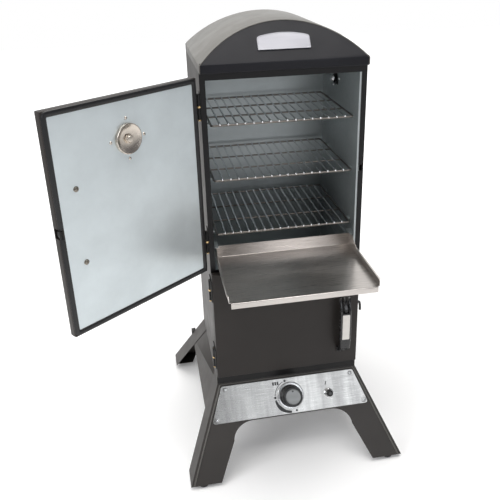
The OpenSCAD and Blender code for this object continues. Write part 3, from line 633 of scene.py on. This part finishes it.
def build_roof():
    """Arched skin with leaning ends and a rolled front edge, over a folded front end."""
    rings = []
    for out, into in zip(roof_arc(0, ROOF_LO.z), roof_arc(SHEET, ROOF_LO.z)):
        draw = lean_in(out.y)
        section = fillet(oblong(ROOF_LO.y + draw, 0, ROOF_HI.y - draw, 1), 0.4, 3)
        rings.append([Vector((out.x + (into.x - out.x) * t, y, out.y + (into.y - out.y) * t))
                      for y, t in section])
    hem_line = [(p.x, ROOF_LO.y + SHEET + lean_in(p.y), p.y) for p in roof_arc(1.5, ROOF_LO.z + 2)]
    hem = tube(hem_line, SHEET, 10)
    piece("roof_skin", joined(skin_rings(rings), hem), "cabinet", SHEEN_ROOF_ENAMEL, ["roof_shell"])

    stretch = math.hypot(1, LEAN)
    arc = [Vector((p.x, max((p.y - SPRING) * stretch, 3))) for p in roof_arc(1.6, SPRING + 2)]
    face = slab(arc, 1.2, 0.3, at=ROOF_SLOPE @ shift(0, 0, -1.2))
    middle = SHEET / 2
    low = ROOF_LO.z - 1.3
    fold = [(ROOF_LO.y + 15, low), (END_Y + middle, low), (END_Y + middle, SPRING - 0.2),
            (END_Y + middle * stretch + lean_in(SPRING + 4), SPRING + 4)]
    path = fillet(fold, [0, 2.4, 4, 0], 6, closed=False)
    fascia = bent(path, SHEET, 0, -HALF_W + 1.6, HALF_W - 1.6, 0.4)
    piece("roof_face", joined(face, fascia), "cabinet", SHADED_ROOF_FACE, ["roof_front"])


def build_badge():
    """Blank badge: plate with rounded upper corners, raised rim and a slight dome."""
    side, foot, crown, radius = 66.5, 31.5, 76.5, 230
    arc = [Vector((radius * math.sin(a), crown - radius + radius * math.cos(a)))
           for a in (math.asin((side - 6) / radius) * (1 - k / 8) for k in range(17))]
    shoulder = arc[0].y - 3.4
    right = [(side, foot), (side, shoulder - 3), (side - 1.6, shoulder + 1)]
    left = [(-x, y) for x, y in reversed(right)]
    outline = fillet([*right, *arc, *left], [2, 4, 4] + [0] * len(arc) + [4, 4, 2])
    middle = (foot + crown) / 2
    inset = [(p.x * 0.965, middle + (p.y - middle) * 0.9) for p in outline]
    plate = slab(outline, 2.6, 0.8)
    rim = slab(outline, 3.1, 0.5, holes=[inset])
    piece("blank_badge", joined(plate, rim, at=ROOF_SLOPE), "cabinet", BADGE_STEEL,
          ["badge_plate"])


# ---- base and control plate ----

def build_base():
    """Raised bead beside each slanted edge of the front legs, and the levelling feet."""
    beads = []
    spread = (LEG_HI.x - HALF_W) / SLOPE_LEN
    for s in (-1, 1):
        line = [(s * (HALF_W - 9 + spread * d), -d, 0.2) for d in (6, 60, 140, 210, SLOPE_LEN - 4)]
        beads.append(tube(line, 2.3, 12))
    beads.append(tube([(-HALF_W + 9, -4.5, 0.2), (HALF_W - 9, -4.5, 0.2)], 1.3, 10))
    # The beads take the roof's lighter copy of the enamel, a painted highlight line along each slanted edge.
    piece("leg_beads", joined(*beads, at=SLOPE), "cabinet", SHEEN_ROOF_ENAMEL)

    low, high = span_of("feet")
    foot_r = 14
    profile = [(0, 0), (10, 0), (12.6, 0.6), (13.8, 2.2), (foot_r, 5), (13.2, 8.6), (10.5, 11.2),
               (7, 12.1), (3.8, 12.1), (3.8, 24.5), (3, 25.6), (0, 25.8)]
    feet = [lathe(profile, 36, at=shift(x, y)) for x in (low.x + foot_r, high.x - foot_r)
            for y in (low.y + foot_r, high.y - foot_r)]
    piece("levelling_feet", joined(*feet), "cabinet", RUBBER, ["feet"])


def build_control_plate():
    """Fascia with holes for the knob and the igniter, and a boss and a screw near each corner."""
    top, foot, upper, lower = 205, 243, -10, -117
    outline = fillet([(-top, upper), (top, upper), (foot, lower), (-foot, lower)], [7, 7, 9, 9])
    holes = [circle(6.5, KNOB), circle(8.2, IGNITER)]
    plate = slab(outline, 1.8, 0.7, holes=holes)
    bosses, heads = [], []
    boss_h = 2.5
    for s in (-1, 1):
        for x, d, wide in ((195, 21, 7), (229, 106.5, 9)):
            boss = [(0, 1.4), (wide, 1.4), (wide - 0.8, 2.3), (wide - 1.8, boss_h), (0, boss_h)]
            bosses.append(lathe(boss, 40, at=shift(s * x, -d)))
            heads.append(screw_head(4.3, 2, at=shift(s * x, -d, boss_h), spin=0.3 + s * x))
    piece("control_panel", joined(plate, *bosses, at=SLOPE), "cabinet", PANEL_STEEL,
          ["control_plate"])
    piece("panel_screw_heads", joined(*heads, at=SLOPE), "cabinet", ZINC, ["panel_screws"])
    piece("panel_print", panel_print(), "cabinet", INK)


def ring_sector(inner, outer, start, end, at):
    """Printed part of a ring; inner and outer are (radius at start, radius at end), angles in degrees."""
    steps = 24
    rings = []
    for k in range(steps + 1):
        t = k / steps
        angle = math.radians(start + (end - start) * t)
        near = inner[0] + (inner[1] - inner[0]) * t
        far = outer[0] + (outer[1] - outer[0]) * t
        rings.append([Vector((r * math.cos(angle), r * math.sin(angle), z))
                      for r, z in oblong(near, 0, far, PRINT)])
    mesh = skin_rings(rings)
    mesh.transform(at)
    return mesh


def panel_print():
    """Generic dial marks: a swelling arc, thin arcs, dots, bars and a tick over the igniter."""
    lift = shift(0, 0, 1.75)
    ink = lift @ shift(KNOB.x, KNOB.y)
    ring = 47.5
    marks = [ring_sector((ring - 2.5, ring - 5), (ring + 2.5, ring + 6), 190, 225, at=ink),
             ring_sector((ring - 5, ring - 3), (ring + 6, ring + 3.5), 225, 268, at=ink),
             ring_sector((ring - 0.9, ring - 0.9), (ring + 0.9, ring + 0.9), 114, 174, at=ink)]
    for angle, radius in ((106, 3.4), (181, 3.6), (287, 3.2)):
        spot = (ring * math.cos(math.radians(angle)), ring * math.sin(math.radians(angle)))
        marks.append(slab(circle(radius, spot, 20), PRINT, PRINT / 5, at=ink))
    for x in (-52, -45, -38):
        marks.append(slab(fillet(oblong(x, 36, x + 5, 46), 1), PRINT, PRINT / 5, at=ink))
    tick = [(-9, 25), (-6.5, 25), (-3, 36), (-5.5, 36)]
    marks.append(slab(tick, PRINT, PRINT / 5, at=lift @ shift(IGNITER.x, IGNITER.y)))
    return joined(*marks, at=SLOPE)


def build_knob():
    """Ribbed knob with a ring round it, a metal face and a pointer dot."""
    axis = SLOPE @ Matrix.Translation(KNOB)
    bezel = lathe([(6.5, 1.6), (41, 1.6), (41, 2.4), (40.2, 3.6), (38.8, 4.3), (37, 4.2), (36, 3.2),
                   (6.5, 3.2)], 96, at=axis)
    piece("knob_ring", bezel, "cabinet", ZINC, ["knob_bezel"])
    grip = lathe([(3.05, 6.8), (32.8, 6.8), (33.5, 7.7), (33.5, 10.6), (32.8, 11.8), (32.4, 13.6, 1),
                  (31.6, 22, 1), (30.4, 34, 1), (29.7, 41), (29.3, 44), (28.4, 45.6), (27, 46), (23.9, 46),
                  (23, 45.7), (22.8, 44.6), (3.05, 44.5)], 160, at=axis, flutes=20, depth=1.1)
    piece("knob_grip", grip, "knob", KNOB_BLACK, ["burner_knob"])
    insert = lathe([(0, 44.5), (22.7, 44.5), (22.7, 46), (22.2, 46.5), (21.4, 46.3), (21, 45.9),
                    (0, 45.9)], 72, at=axis)
    piece("knob_face", insert, "knob", KNOB_GREY, ["knob_insert"])
    pointer = slab(circle(2.6, (0, 16.5), 24), 0.3, 0.08, at=axis @ shift(0, 0, 45.75))
    piece("knob_pointer", pointer, "knob", INK)


def build_igniter():
    """Bright collar with its barrel behind the panel, and a black push button."""
    axis = SLOPE @ Matrix.Translation(IGNITER)
    washer = lathe([(8.1, 1.6), (15, 1.6), (15, 2.4), (14.2, 3.2), (12.4, 4.2), (8.1, 4.2)], 56, at=axis)
    collar = lathe([(9.35, 5), (10, 4), (11.6, 4), (11.6, 12.6), (11.2, 14.2), (10.3, 15), (9.6, 14.8),
                    (9.35, 14)], 56, at=axis)
    barrel = lathe([(4.1, -4), (6, -28), (8, -28), (8, 4.8), (4.1, 4.8)], 40, at=axis)
    piece("igniter_collar", joined(washer, collar, barrel), "cabinet", CHROME,
          ["igniter_body"])
    button = lathe([(0, 1), (4, 1), (4, 9), (9.2, 9), (9.2, 20.6), (8.8, 22.4), (7.4, 23.6), (4.6, 24),
                    (0, 24)], 48, at=axis)
    piece("igniter_cap", button, "igniter", KNOB_BLACK, ["igniter_button"])


# ---- racks and tray ----

def build_racks():
    """Three plated racks: frame wires, two cross rods and round-ended rods front to back."""
    low, high = span_of("cooking_racks")
    inset = 3
    half = high.x - inset
    y0, y1 = low.y + inset, high.y - inset
    rods = 16
    pitch = 2 * half / (rods + 1)
    wires, beads, frames = [], [], []
    for drop in (0, 149, 304):
        z = high.z - 5 - drop
        frame_line = fillet(oblong(-half, y0, half, y1), 7, 6)
        frames.append(tube([(p.x, p.y, z) for p in frame_line], 2.8, 12, closed=True))
        for y in (-60, 45):
            frames.append(tube([(-half, y, z - 3), (half, y, z - 3)], 2.4, 10))
        for k in range(1, rods + 1):
            x = -half + k * pitch
            line = [(x, y0 - 1.2, z + 2.4), (x, y0 + 12, z + 2.7), (x, (y0 + y1) / 2, z + 2.6),
                    (x, y1 + 1, z + 2.5)]
            wires.append(tube(line, 2.4, 10))
            beads.append(tube([(x, y0 - 0.2, z + 2.2), (x, y0 + 1.6, z + 2.4)], 3.3, 12))
    piece("wire_racks", joined(*wires), "cabinet", WIRE, ["cooking_racks"])
    # The rod ends take the brighter chrome, a painted highlight on each bead.
    piece("rack_rod_ends", joined(*beads), "cabinet", CHROME)
    piece("rack_frames", joined(*frames), "cabinet", WIRE_FRAME)


def build_tray():
    """Folded stainless tray: plate, back wall, front fold, side walls with hems and drilled ears."""
    low, high = span_of("shelf_tray")
    y0, y1 = low.y, high.y
    floor_z = low.z + 15
    half = high.x - 4.5
    thick = 1.0
    mid = floor_z - thick / 2
    pan = bent([(y1 - 0.5, floor_z + 34), (y1 - 0.5, mid), (y0 + 5, mid)], thick, 2.2, -half, half)
    fold = bent([(y0 + 6, mid), (y0 + 0.5, mid), (y0 + 0.5, low.z)], thick, 1.6, -half + 5, half - 5, 0.3)
    parts = [pan, fold]
    for s in (-1, 1):
        wall = fillet([(y0 + 5, floor_z - 0.6), (y0 + 5, floor_z + 15.5), (y1 - 78, floor_z + 15.5),
                       (y1 - 30, floor_z + 41), (y1 - 2, floor_z + 41), (y1 - 1, floor_z - 0.6)],
                      [1, 4, 8, 8, 4, 1])
        drilled = [circle(2.9, (y1 + y, floor_z + z), 20)
                   for y, z in ((-24, 36), (-24, 23), (-24, 10), (-48, 23))]
        stand = sideways(s * half - (thick if s > 0 else 0))
        parts.append(slab(wall, thick, 0.3, holes=drilled, at=stand))
        rim = s * (half + 3.6)
        hem = sorted((s * (half - 0.4), rim))
        parts.append(block((hem[0], y0 + 11, floor_z + 15), (hem[1], y1, floor_z + 16), 0.35, 2))
        parts.append(tube([(rim, y0 + 12, floor_z + 15.2), (rim, y1 - 1, floor_z + 15.2)], 0.8, 8))
    piece("folded_tray", joined(*parts), "tray", TRAY_STEEL, ["shelf_tray"])


# ---- doors ----

def door_shell(z0, z1, latch_z):
    """Outer pan with rounded edges, inner rim and a dark latch slot in the free edge."""
    slot_x, slot_lo, slot_hi = DOOR_X1 - 9, latch_z - LATCH_HALF, latch_z + LATCH_HALF
    pan = block((DOOR_X0, DOOR_FACE, z0), (DOOR_X1, DOOR_BACK - 1.2, z1), 2.4, 4)
    slot = block((slot_x, DOOR_FACE + 5, slot_lo), (DOOR_X1 + 5, DOOR_BACK + 5, slot_hi), 1.5, 2)
    x0, x1, low, high = DOOR_X0 + 0.6, DOOR_X1 - 0.6, z0 + 0.6, z1 - 0.6
    outer = fillet([(x0, low), (x1, low), (x1, slot_lo), (slot_x, slot_lo), (slot_x, slot_hi), (x1, slot_hi),
                    (x1, high), (x0, high)], [2, 2, 1, 1, 1, 1, 2, 2])
    inner = fillet(oblong(DOOR_X0 + RIM, z0 + RIM, DOOR_X1 - RIM, z1 - RIM), 3)
    rim = slab(outer, SHEET, 0.5, holes=[inner], at=upright(DOOR_BACK))
    return joined(carve(pan, slot), rim)


def door_sheet(z0, z1):
    """Inner sheet, slightly pillowed between its edges."""
    bm = bmesh.new()
    cells = 24
    x0, x1 = DOOR_X0 + RIM - 1, DOOR_X1 - RIM + 1
    low, high = z0 + RIM - 1, z1 - RIM + 1
    edge_y = DOOR_BACK - 0.85
    grid = []
    for j in range(cells + 1):
        v = j / cells
        row = []
        for i in range(cells + 1):
            u = i / cells
            rise = 0.5 * math.sin(math.pi * u) ** 0.5 * math.sin(math.pi * v) ** 0.5
            row.append(bm.verts.new((x0 + (x1 - x0) * u, edge_y + rise, low + (high - low) * v)))
        grid.append(row)
    for j in range(cells):
        for i in range(cells):
            bm.faces.new((grid[j][i], grid[j][i + 1], grid[j + 1][i + 1], grid[j + 1][i]))
    front = bm.faces[:]
    bmesh.ops.recalc_face_normals(bm, faces=front)
    if front[0].normal.y < 0:
        bmesh.ops.reverse_faces(bm, faces=front)
    made = bmesh.ops.extrude_face_region(bm, geom=front)
    verts = [v for v in made["geom"] if isinstance(v, bmesh.types.BMVert)]
    bmesh.ops.translate(bm, vec=(0, -0.8, 0), verts=verts)
    bmesh.ops.recalc_face_normals(bm, faces=bm.faces)
    mesh = bpy.data.meshes.new("sheet")
    bm.to_mesh(mesh)
    bm.free()
    return mesh


def rope(z0, z1, latch_z):
    """Rounded seal round the rim, broken at the latch."""
    inset = 7
    x0, x1 = DOOR_X0 + inset, DOOR_X1 - inset
    low, high = z0 + inset, z1 - inset
    gap = LATCH_HALF + 2
    line = fillet([(x1, latch_z + gap), (x1, high), (x0, high), (x0, low), (x1, low), (x1, latch_z - gap)],
                  [0, 9, 9, 9, 9, 0], 8, closed=False)
    return tube([(p.x, DOOR_BACK - 0.4, p.y) for p in line], 6.4, 18, flat=0.44)


def build_main_door():
    """Upper door's pan, inner sheet and seal, and the handle's two screws on the inner side."""
    piece("main_door_pan", door_shell(*MAIN_Z, LATCH_Z), "main_door", DOOR_ENAMEL,
          ["main_door_skin"], SWING)
    piece("main_door_sheet", door_sheet(*MAIN_Z), "main_door", DOOR_LINER,
          ["main_door_liner"], SWING)
    piece("main_door_seal", rope(*MAIN_Z, LATCH_Z), "main_door", SEAL, ["main_door_gasket"], SWING)
    heads = []
    for z in (-HANDLE_SCREW, HANDLE_SCREW):
        seat = facing((HANDLES["main"].x, DOOR_BACK - 0.5, HANDLES["main"].z + z), (0, 1, 0))
        heads.append(lathe([(0, 0), (6.6, 0), (6.6, 0.7), (6.2, 0.9), (0, 0.9)], 40, at=seat))
        heads.append(screw_head(5.2, 3, at=seat @ shift(0, 0, 0.9), spin=z))
    piece("handle_screw_heads", joined(*heads), "main_door", DARK_ZINC,
          ["handle_screws"], SWING)


def build_low_door():
    piece("low_door_pan", door_shell(*LOW_Z, HANDLES["low"].z), "lower_door", DOOR_ENAMEL,
          ["low_door_skin"])


def build_hinges():
    """Rounded barrels and leaves, with a brass bush showing between the knuckles."""
    fixed, moving, bushes = [], {"main": [], "low": []}, []
    half = HINGE_H / 2
    x, y = HINGE.x, HINGE.y
    barrel = [(2.25, 0.4), (3.6, 0), (4.2, 0.6), (4.2, half - 1), (3.8, half - 0.4), (2.25, half - 0.4)]
    bush = [(2.2, half - 2.4), (4.7, half - 2.4), (5, half - 1.8), (5, half + 1.8), (4.7, half + 2.4),
            (2.2, half + 2.4)]
    pin = [(0, -3.4), (3.4, -3.4), (4, -2.6), (4, -0.6), (2.2, -0.6), (2.2, HINGE_H - 2),
           (1.6, HINGE_H - 1), (0, HINGE_H - 1)]
    for door, z in ((door, z) for door in HINGE_Z for z in HINGE_Z[door]):
        top = z + HINGE_H
        fixed.append(lathe(barrel, 28, at=shift(x, y, z)))
        fixed.append(block((-HALF_W - 3, y + 4.8, z), (-HALF_W, -HALF_D + 34, top), 1.1))
        fixed.append(block((x - 1, y, z), (-HALF_W - 0.1, y + 6, z + half - 0.4), 0.8))
        moving[door].append(lathe(barrel, 28, at=shift(x, y, z + half + 0.2)))
        moving[door].append(block((-HALF_W - 3, DOOR_FACE + 1.5, z), (-HALF_W, y - 4.8, top), 1.1))
        moving[door].append(block((x - 1, y - 6, z + half + 0.4), (-HALF_W - 0.1, y, top), 0.8))
        bushes.append(lathe(bush, 32, at=shift(x, y, z)))
        bushes.append(lathe(pin, 28, at=shift(x, y, z)))
    piece("hinge_leaves", joined(*fixed), "cabinet", HINGE_BLACK, ["hinge_brackets"])
    piece("hinge_bushes", joined(*bushes), "cabinet", BRASS, ["hinge_pins"])
    piece("main_hinge_halves", joined(*moving["main"]), "main_door", HINGE_BLACK,
          ["main_door_hinges"], SWING)
    piece("low_hinge_halves", joined(*moving["low"]), "lower_door", HINGE_BLACK,
          ["low_door_hinges"])


# ---- handles ----

def door_stations(at, rows, tip):
    """Stations for loft() along a smooth line in front of a door.

    Each row is sideways, reach in front of the door, height, width and depth. The sections tip
    with the line's own lean away from the door where tip is -1 and against it where tip is 1.
    """
    across = Vector((1, 0, 0))
    line = smooth_path(rows, 5)
    out = []
    for i, row in enumerate(line):
        before, after = line[max(i - 1, 0)], line[min(i + 1, len(line) - 1)]
        ahead = Vector((0, tip * (after[1] - before[1]), after[2] - before[2])).normalized()
        centre = Vector((at.x + row[0], DOOR_FACE - row[1], at.z + row[2]))
        out.append((centre, across, row[3], across.cross(ahead), row[4]))
    return out


def handle_bar(at):
    """Bowed grip that forks into two arms at the top, on a foot at each end."""
    grip = [(0, 2, -99, 27, 12), (0, 12, -97, 26, 13), (0, 25, -88, 28, 14), (0, 32, -74, 31, 16),
            (0, 34, -40, 33, 16), (0, 34, 10, 33, 16), (0, 33, 38, 32, 15), (0, 31, 46, 29, 13)]
    parts = [loft(door_stations(at, grip, 1))]
    for s in (-1, 1):
        arm = [(s * 11.5, 33.5, 30, 9, 14), (s * 12.5, 33, 52, 8, 14), (s * 12.8, 27, 72, 7.5, 13),
               (s * 13.2, 16, 90, 8, 13), (s * 13.6, 3, 99, 9, 12)]
        parts.append(loft(door_stations(at, arm, 1), 0.48, 6))
    for low, wide in ((90, 18), (-107, 15)):
        z = at.z + low
        parts.append(block((at.x - wide, DOOR_FACE - 5, z), (at.x + wide, DOOR_FACE, z + 17), 2.4, 4))
    bed = fillet(oblong(at.x - 13, at.z - 45, at.x + 13, at.z + 45), 4)
    parts.append(slab(bed, 3.2, 1.2, at=upright(DOOR_FACE - 38.5)))
    return joined(*parts)


def handle_face(at):
    """Blank inlay in the grip."""
    outline = fillet(oblong(at.x - 10.8, at.z - 41.2, at.x + 10.8, at.z + 41.2), 1.8)
    return slab(outline, 1.1, 0.4, at=upright(DOOR_FACE - 41.2))


def thumb_lever(at):
    """Drop-shaped lever between the fork's arms, with its pivot pin."""
    drop = [(0, 14, 86, 8, 5), (0, 20, 79, 11, 8), (0, 27, 70, 13.5, 9), (0, 34, 60, 14, 8),
            (0, 38, 53, 11, 6), (0, 39, 49.5, 6, 3)]
    pin = tube([(at.x + x, DOOR_FACE - 20, at.z + 74) for x in (-11, 11)], 2, 14)
    return joined(loft(door_stations(at, drop, -1), 0.48, 6), pin)


def latch_hook(z):
    """Flat bar through the door's slot with a lip behind the front frame."""
    return joined(block((190, DOOR_BACK - 8, z - 7), (209.5, DOOR_BACK - 3, z + 7), 0.8),
                  block((205.5, DOOR_BACK - 8, z - 7), (209.5, -HALF_D + 6, z + 7), 0.8),
                  block((205.5, -HALF_D + 2.6, z - 7), (213, -HALF_D + 6, z + 7), 0.8))


def build_handles():
    """Each door's grip and inlay, with the lever and the latch that ride on their own bodies."""
    for key, body, at, nodes in (
            ("main", "main_door", SWING, ("main_handle", "handle_plate", "main_trigger", "main_latch")),
            ("low", "lower_door", Matrix(), ("low_handle", "low_plate", "low_trigger", "low_latch"))):
        spot = HANDLES[key]
        piece(key + "_grip", handle_bar(spot), body, BLACK, [nodes[0]], at, 50)
        piece(key + "_inlay", handle_face(spot), body, INLAY_STEEL, [nodes[1]], at)
        piece(key + "_thumb_lever", thumb_lever(spot), key + "_trigger_body", BLACK,
              [nodes[2]], at, 50)
        piece(key + "_latch_hook", latch_hook(spot.z), key + "_latch_body", DARK,
              [nodes[3]], at)


# ---- thermometer ----

def build_thermometer():
    """Dial with marks and a needle on the outer side; dish, nut and rivets on the inner side."""
    outer = facing((THERMO.x, DOOR_FACE, THERMO.z), (0, -1, 0))
    case = lathe([(8, -19), (8, 0), (39, 0), (40, 1), (40, 8.6), (39.4, 10), (38, 10.6), (36.4, 10.2),
                  (35.8, 9), (35.6, 2.1), (1, 2.0), (1, 8.6), (0, 8.6), (0, -19)], 96, at=outer)
    piece("dial_case", case, "main_door", CHROME, ["thermo_case"], SWING)
    face = lathe([(1.4, 2.1), (35.4, 2.1), (35.4, 3), (1.4, 3)], 72, at=outer)
    piece("dial_plate", face, "main_door", DIAL, ["thermo_dial"], SWING)
    marks = []
    for k in range(25):
        turn = Matrix.Rotation(math.radians(-30 + k * 10), 4, "Z")
        inner, half = (28, 0.25) if k % 4 else (25, 0.5)
        marks.append(slab(oblong(inner, -half, 32, half), 0.2, 0.04, at=outer @ shift(0, 0, 2.95) @ turn))
    piece("dial_marks", joined(*marks), "main_door", INK, at=SWING)
    needle = slab(fillet([(-1.4, -9), (1.4, -9), (0.9, 20), (0, 30), (-0.9, 20)], 0.3), 0.8, 0.2,
                  at=shift(0, 0, 4.5) @ Matrix.Rotation(math.radians(-240), 4, "Z"))
    hub = lathe([(1.05, 4.4), (4, 4.4), (4, 5.2), (3.2, 5.8), (1.05, 5.8)], 32)
    piece("dial_needle", joined(needle, hub, at=outer), "needle", RED, ["thermo_needle"], SWING)
    lens = lathe([(0, 9), (35.7, 9), (35.7, 9.8), (20, 10.4), (0, 10.6)], 72, at=outer)
    piece("dial_lens", lens, "main_door", GLASS, at=SWING)

    inside = facing((THERMO.x, DOOR_BACK - 0.5, THERMO.z), (0, 1, 0))
    cup = lathe([(8, 3.2), (14, 3.4), (22, 4.2), (28, 5.6), (32, 7.4), (33.6, 7.9), (35, 7.2), (35.5, 5.6),
                 (35.5, 0), (34.6, 0), (34.4, 5.2), (33.4, 6.4), (31.6, 6), (27.6, 4.4), (21.8, 3.2),
                 (8, 2.2)], 96, at=inside)
    nut = slab(fillet(circle(11.2, steps=6), 1), 5.4, 0.7, holes=[circle(8.06)], at=inside @ shift(0, 0, 3.4))
    stem = lathe([(0, 0), (8, 0), (8, 9.6), (7, 10.8), (3.4, 11.2), (0, 11.2)], 40, at=inside)
    rivets = [lathe([(0, 0), (3.8, 0), (3.5, 1), (2.2, 1.9), (0, 2.2)], 24, at=inside @ shift(*spot))
              for spot in circle(47, steps=4)]
    piece("thermometer_dish", joined(cup, nut, stem, *rivets), "main_door", CUP_METAL,
          ["thermo_cup"], SWING, 40)


# ---- damper and small fittings ----

def build_damper():
    """Disc with three holes on the right wall; its hub, spring and bolt inside."""
    hub = Vector((0, 41, 1098))
    disc_holes = [circle(8, (18 * math.cos(math.radians(a)), 18 * math.sin(math.radians(a))), 28)
                  for a in (90, 210, 330)]
    out = sideways(HALF_W + 0.3, hub.y, hub.z)
    tab = fillet(oblong(-5, -44, 5, -29), 1)
    parts = [slab(circle(32, steps=72), 1.6, 0.5, holes=[*disc_holes, circle(3.2)], at=out),
             slab(tab, 1.6, 0.5, at=out),
             block((HALF_W + 0.4, hub.y - 5, hub.z - 44), (HALF_W + 13, hub.y + 5, hub.z - 42.2), 0.8),
             lathe([(3.05, 1.2), (9, 1.2), (9, 4.6), (8, 5.6), (3.05, 5.8)], 40, at=out)]
    piece("damper_disc", joined(*parts), "damper_body", HINGE_BLACK, ["damper"])

    wall = HALF_W - 13.3
    inwards = facing((wall, hub.y, hub.z), (-1, 0, 0))
    bow = [(wall - x, hub.y + y, hub.z + z)
           for x, y, z in ((2, -6, 12), (5, -6, 24), (6, 0, 30), (5, 6, 24), (2, 6, 12))]
    loop = tube(smooth_path(bow, 5), 1.8, 10)
    coil = [(11 * math.cos(TAU * k / 14), 11 * math.sin(TAU * k / 14), 2 + 6 * k / 42) for k in range(43)]
    spring = tube(coil, 0.9, 8, at=inwards)
    screws = [screw_head(4.5, 2.8, at=facing((wall, hub.y + y, hub.z + z), (-1, 0, 0)))
              for y, z in ((-34, 4), (24, -22))]
    bolt = lathe([(0, -22), (2.9, -22), (2.9, 2), (9.2, 2), (10, 3), (10, 11.6), (9, 13.4), (5.4, 14.6),
                  (4.6, 15.8), (0, 16.2)], 36, at=inwards)
    outer_head = lathe([(0, 7.2), (6, 7.2), (6, 8.4), (4.8, 9.4), (0, 9.7)], 32,
                       at=facing((HALF_W, hub.y, hub.z), (1, 0, 0)))
    piece("damper_bolt", joined(bolt, outer_head, *screws), "cabinet", CHROME, ["hardware"])
    plate = slab(circle(19, steps=48), 1.6, 0.5, holes=[circle(3.1)], at=inwards)
    piece("damper_washer", joined(plate, loop, spring), "cabinet", HINGE_BLACK)


def build_fittings():
    """Hose clip behind the rear left leg, screws on the side walls, and the tool hook."""
    # The rear slope mirrors the front one; joined() turns the mirrored faces the right way out.
    flip = Matrix.Scale(-1, 4, (0, 1, 0)) @ SLOPE
    clip = carve(block((-258, -118, 0.05), (-244, -96, 16.05), 1),
                 block((-262, -111, 3.05), (-240, -102, 19), 1))
    clip.transform(flip)
    piece("hose_clip", joined(clip), "cabinet", HINGE_BLACK)

    heads = [screw_head(3.2, 2.4, at=facing((HALF_W, -HALF_D + 10, z), (1, 0, 0))) for z in (903, 922)]
    for z in (*HINGE_Z["main"], *HINGE_Z["low"]):
        for rise in (14, HINGE_H - 14):
            heads.append(screw_head(3.6, 2, at=facing((-HALF_W - 3, -HALF_D + 22, z + rise), (-1, 0, 0))))
    piece("side_screws", joined(*heads), "cabinet", HINGE_BLACK)

    y = -148
    hook_plate = block((HALF_W, y - 8, 424), (HALF_W + 2.2, y + 8, 466), 0.9)
    prong = [(1, 449), (10, 450), (17, 456), (21, 452), (23, 440), (23.3, 429)]
    hook = tube(smooth_path([(HALF_W + x, y, z) for x, z in prong], 6), 3.7, 14)
    spur = [(17, 455), (12, 464), (7, 471)]
    upper = tube(smooth_path([(HALF_W + x, y, z) for x, z in spur], 4), 2.6, 12)
    piece("tool_hook", joined(hook_plate, hook, upper), "cabinet", BLACK, sharp=50)


# ---- studio ----

def build_floor():
    size = 9.0
    mesh = bpy.data.meshes.new("floor")
    mesh.from_pydata([(x, y, 0) for x, y in oblong(-size, -size, size, size)], [], [(0, 1, 2, 3)])
    floor = bpy.data.objects.new("floor", mesh)
    mesh.materials.append(studio_floor())
    bpy.context.scene.collection.objects.link(floor)


def area_light(name, spot, target, size, power, colour=(1, 1, 1)):
    light = bpy.data.lights.new(name, "AREA")
    light.shape = "RECTANGLE"
    light.size, light.size_y = size
    light.energy = power
    light.color = colour
    obj = bpy.data.objects.new(name, light)
    obj.location = spot
    obj.rotation_euler = (Vector(target) - Vector(spot)).to_track_quat("-Z", "Y").to_euler()
    bpy.context.scene.collection.objects.link(obj)


def studio_world():
    """White for the camera; the light is a bright backdrop behind the object and dim in front of it."""
    world = bpy.data.worlds.new("studio")
    world.use_nodes = True
    nodes, links = world.node_tree.nodes, world.node_tree.links
    split = nodes.new("ShaderNodeSeparateXYZ")
    links.new(nodes.new("ShaderNodeTexCoord").outputs["Generated"], split.inputs["Vector"])
    ramp = nodes.new("ShaderNodeValToRGB")
    first, last = ramp.color_ramp.elements
    first.position, first.color = 0.0, (0.17, 0.17, 0.18, 1)
    last.position, last.color = 0.35, (1, 1, 1, 1)
    links.new(split.outputs["Y"], ramp.inputs["Fac"])
    links.new(ramp.outputs["Color"], nodes["Background"].inputs["Color"])
    white = nodes.new("ShaderNodeBackground")
    white.inputs["Color"].default_value = (1, 1, 1, 1)
    choose = nodes.new("ShaderNodeMixShader")
    links.new(nodes.new("ShaderNodeLightPath").outputs["Is Camera Ray"], choose.inputs["Fac"])
    links.new(nodes["Background"].outputs["Background"], choose.inputs[1])
    links.new(white.outputs["Background"], choose.inputs[2])
    links.new(choose.outputs["Shader"], nodes["World Output"].inputs["Surface"])
    bpy.context.scene.world = world


def build_studio():
    build_floor()
    studio_world()
    middle = (0, 0, 0.7)
    area_light("key_left", (-2.7, -1.2, 2.0), middle, (1.6, 1.8), 46)
    area_light("top", (0.0, -0.3, 3.3), middle, (2.6, 2.4), 84, (1, 0.985, 0.96))
    area_light("front_fill", (1.0, -3.6, 1.9), middle, (1.6, 1.6), 22, (0.94, 0.96, 1))
    bpy.context.scene.view_settings.view_transform = "Standard"


def build_camera():
    """The photograph's viewpoint: yaw, pitch and roll in degrees, place in metres."""
    yaw, pitch, roll = (math.radians(a) for a in (10.383, -24.065, -1.339))
    ahead = Vector((math.sin(yaw) * math.cos(pitch), math.cos(yaw) * math.cos(pitch), math.sin(pitch)))
    level = ahead.cross(Vector((0, 0, 1))).normalized()
    above = level.cross(ahead)
    right = level * math.cos(roll) + above * math.sin(roll)
    up = above * math.cos(roll) - level * math.sin(roll)
    turn = Matrix((right, up, -ahead)).transposed().to_4x4()
    data = bpy.data.cameras.new("camera")
    data.sensor_width = 36
    data.lens = 46.41
    data.shift_x, data.shift_y = -0.0246, -0.0420
    camera = bpy.data.objects.new("camera", data)
    camera.matrix_world = Matrix.Translation((-0.3567, -1.7686, 1.4644)) @ turn
    bpy.context.scene.collection.objects.link(camera)
    bpy.context.scene.camera = camera


build_camera()
build_studio()
dress_cabinet()
build_roof()
build_badge()
build_base()
build_control_plate()
build_knob()
build_igniter()
build_racks()
build_tray()
build_main_door()
build_low_door()
build_hinges()
build_handles()
build_thermometer()
build_damper()
build_fittings()
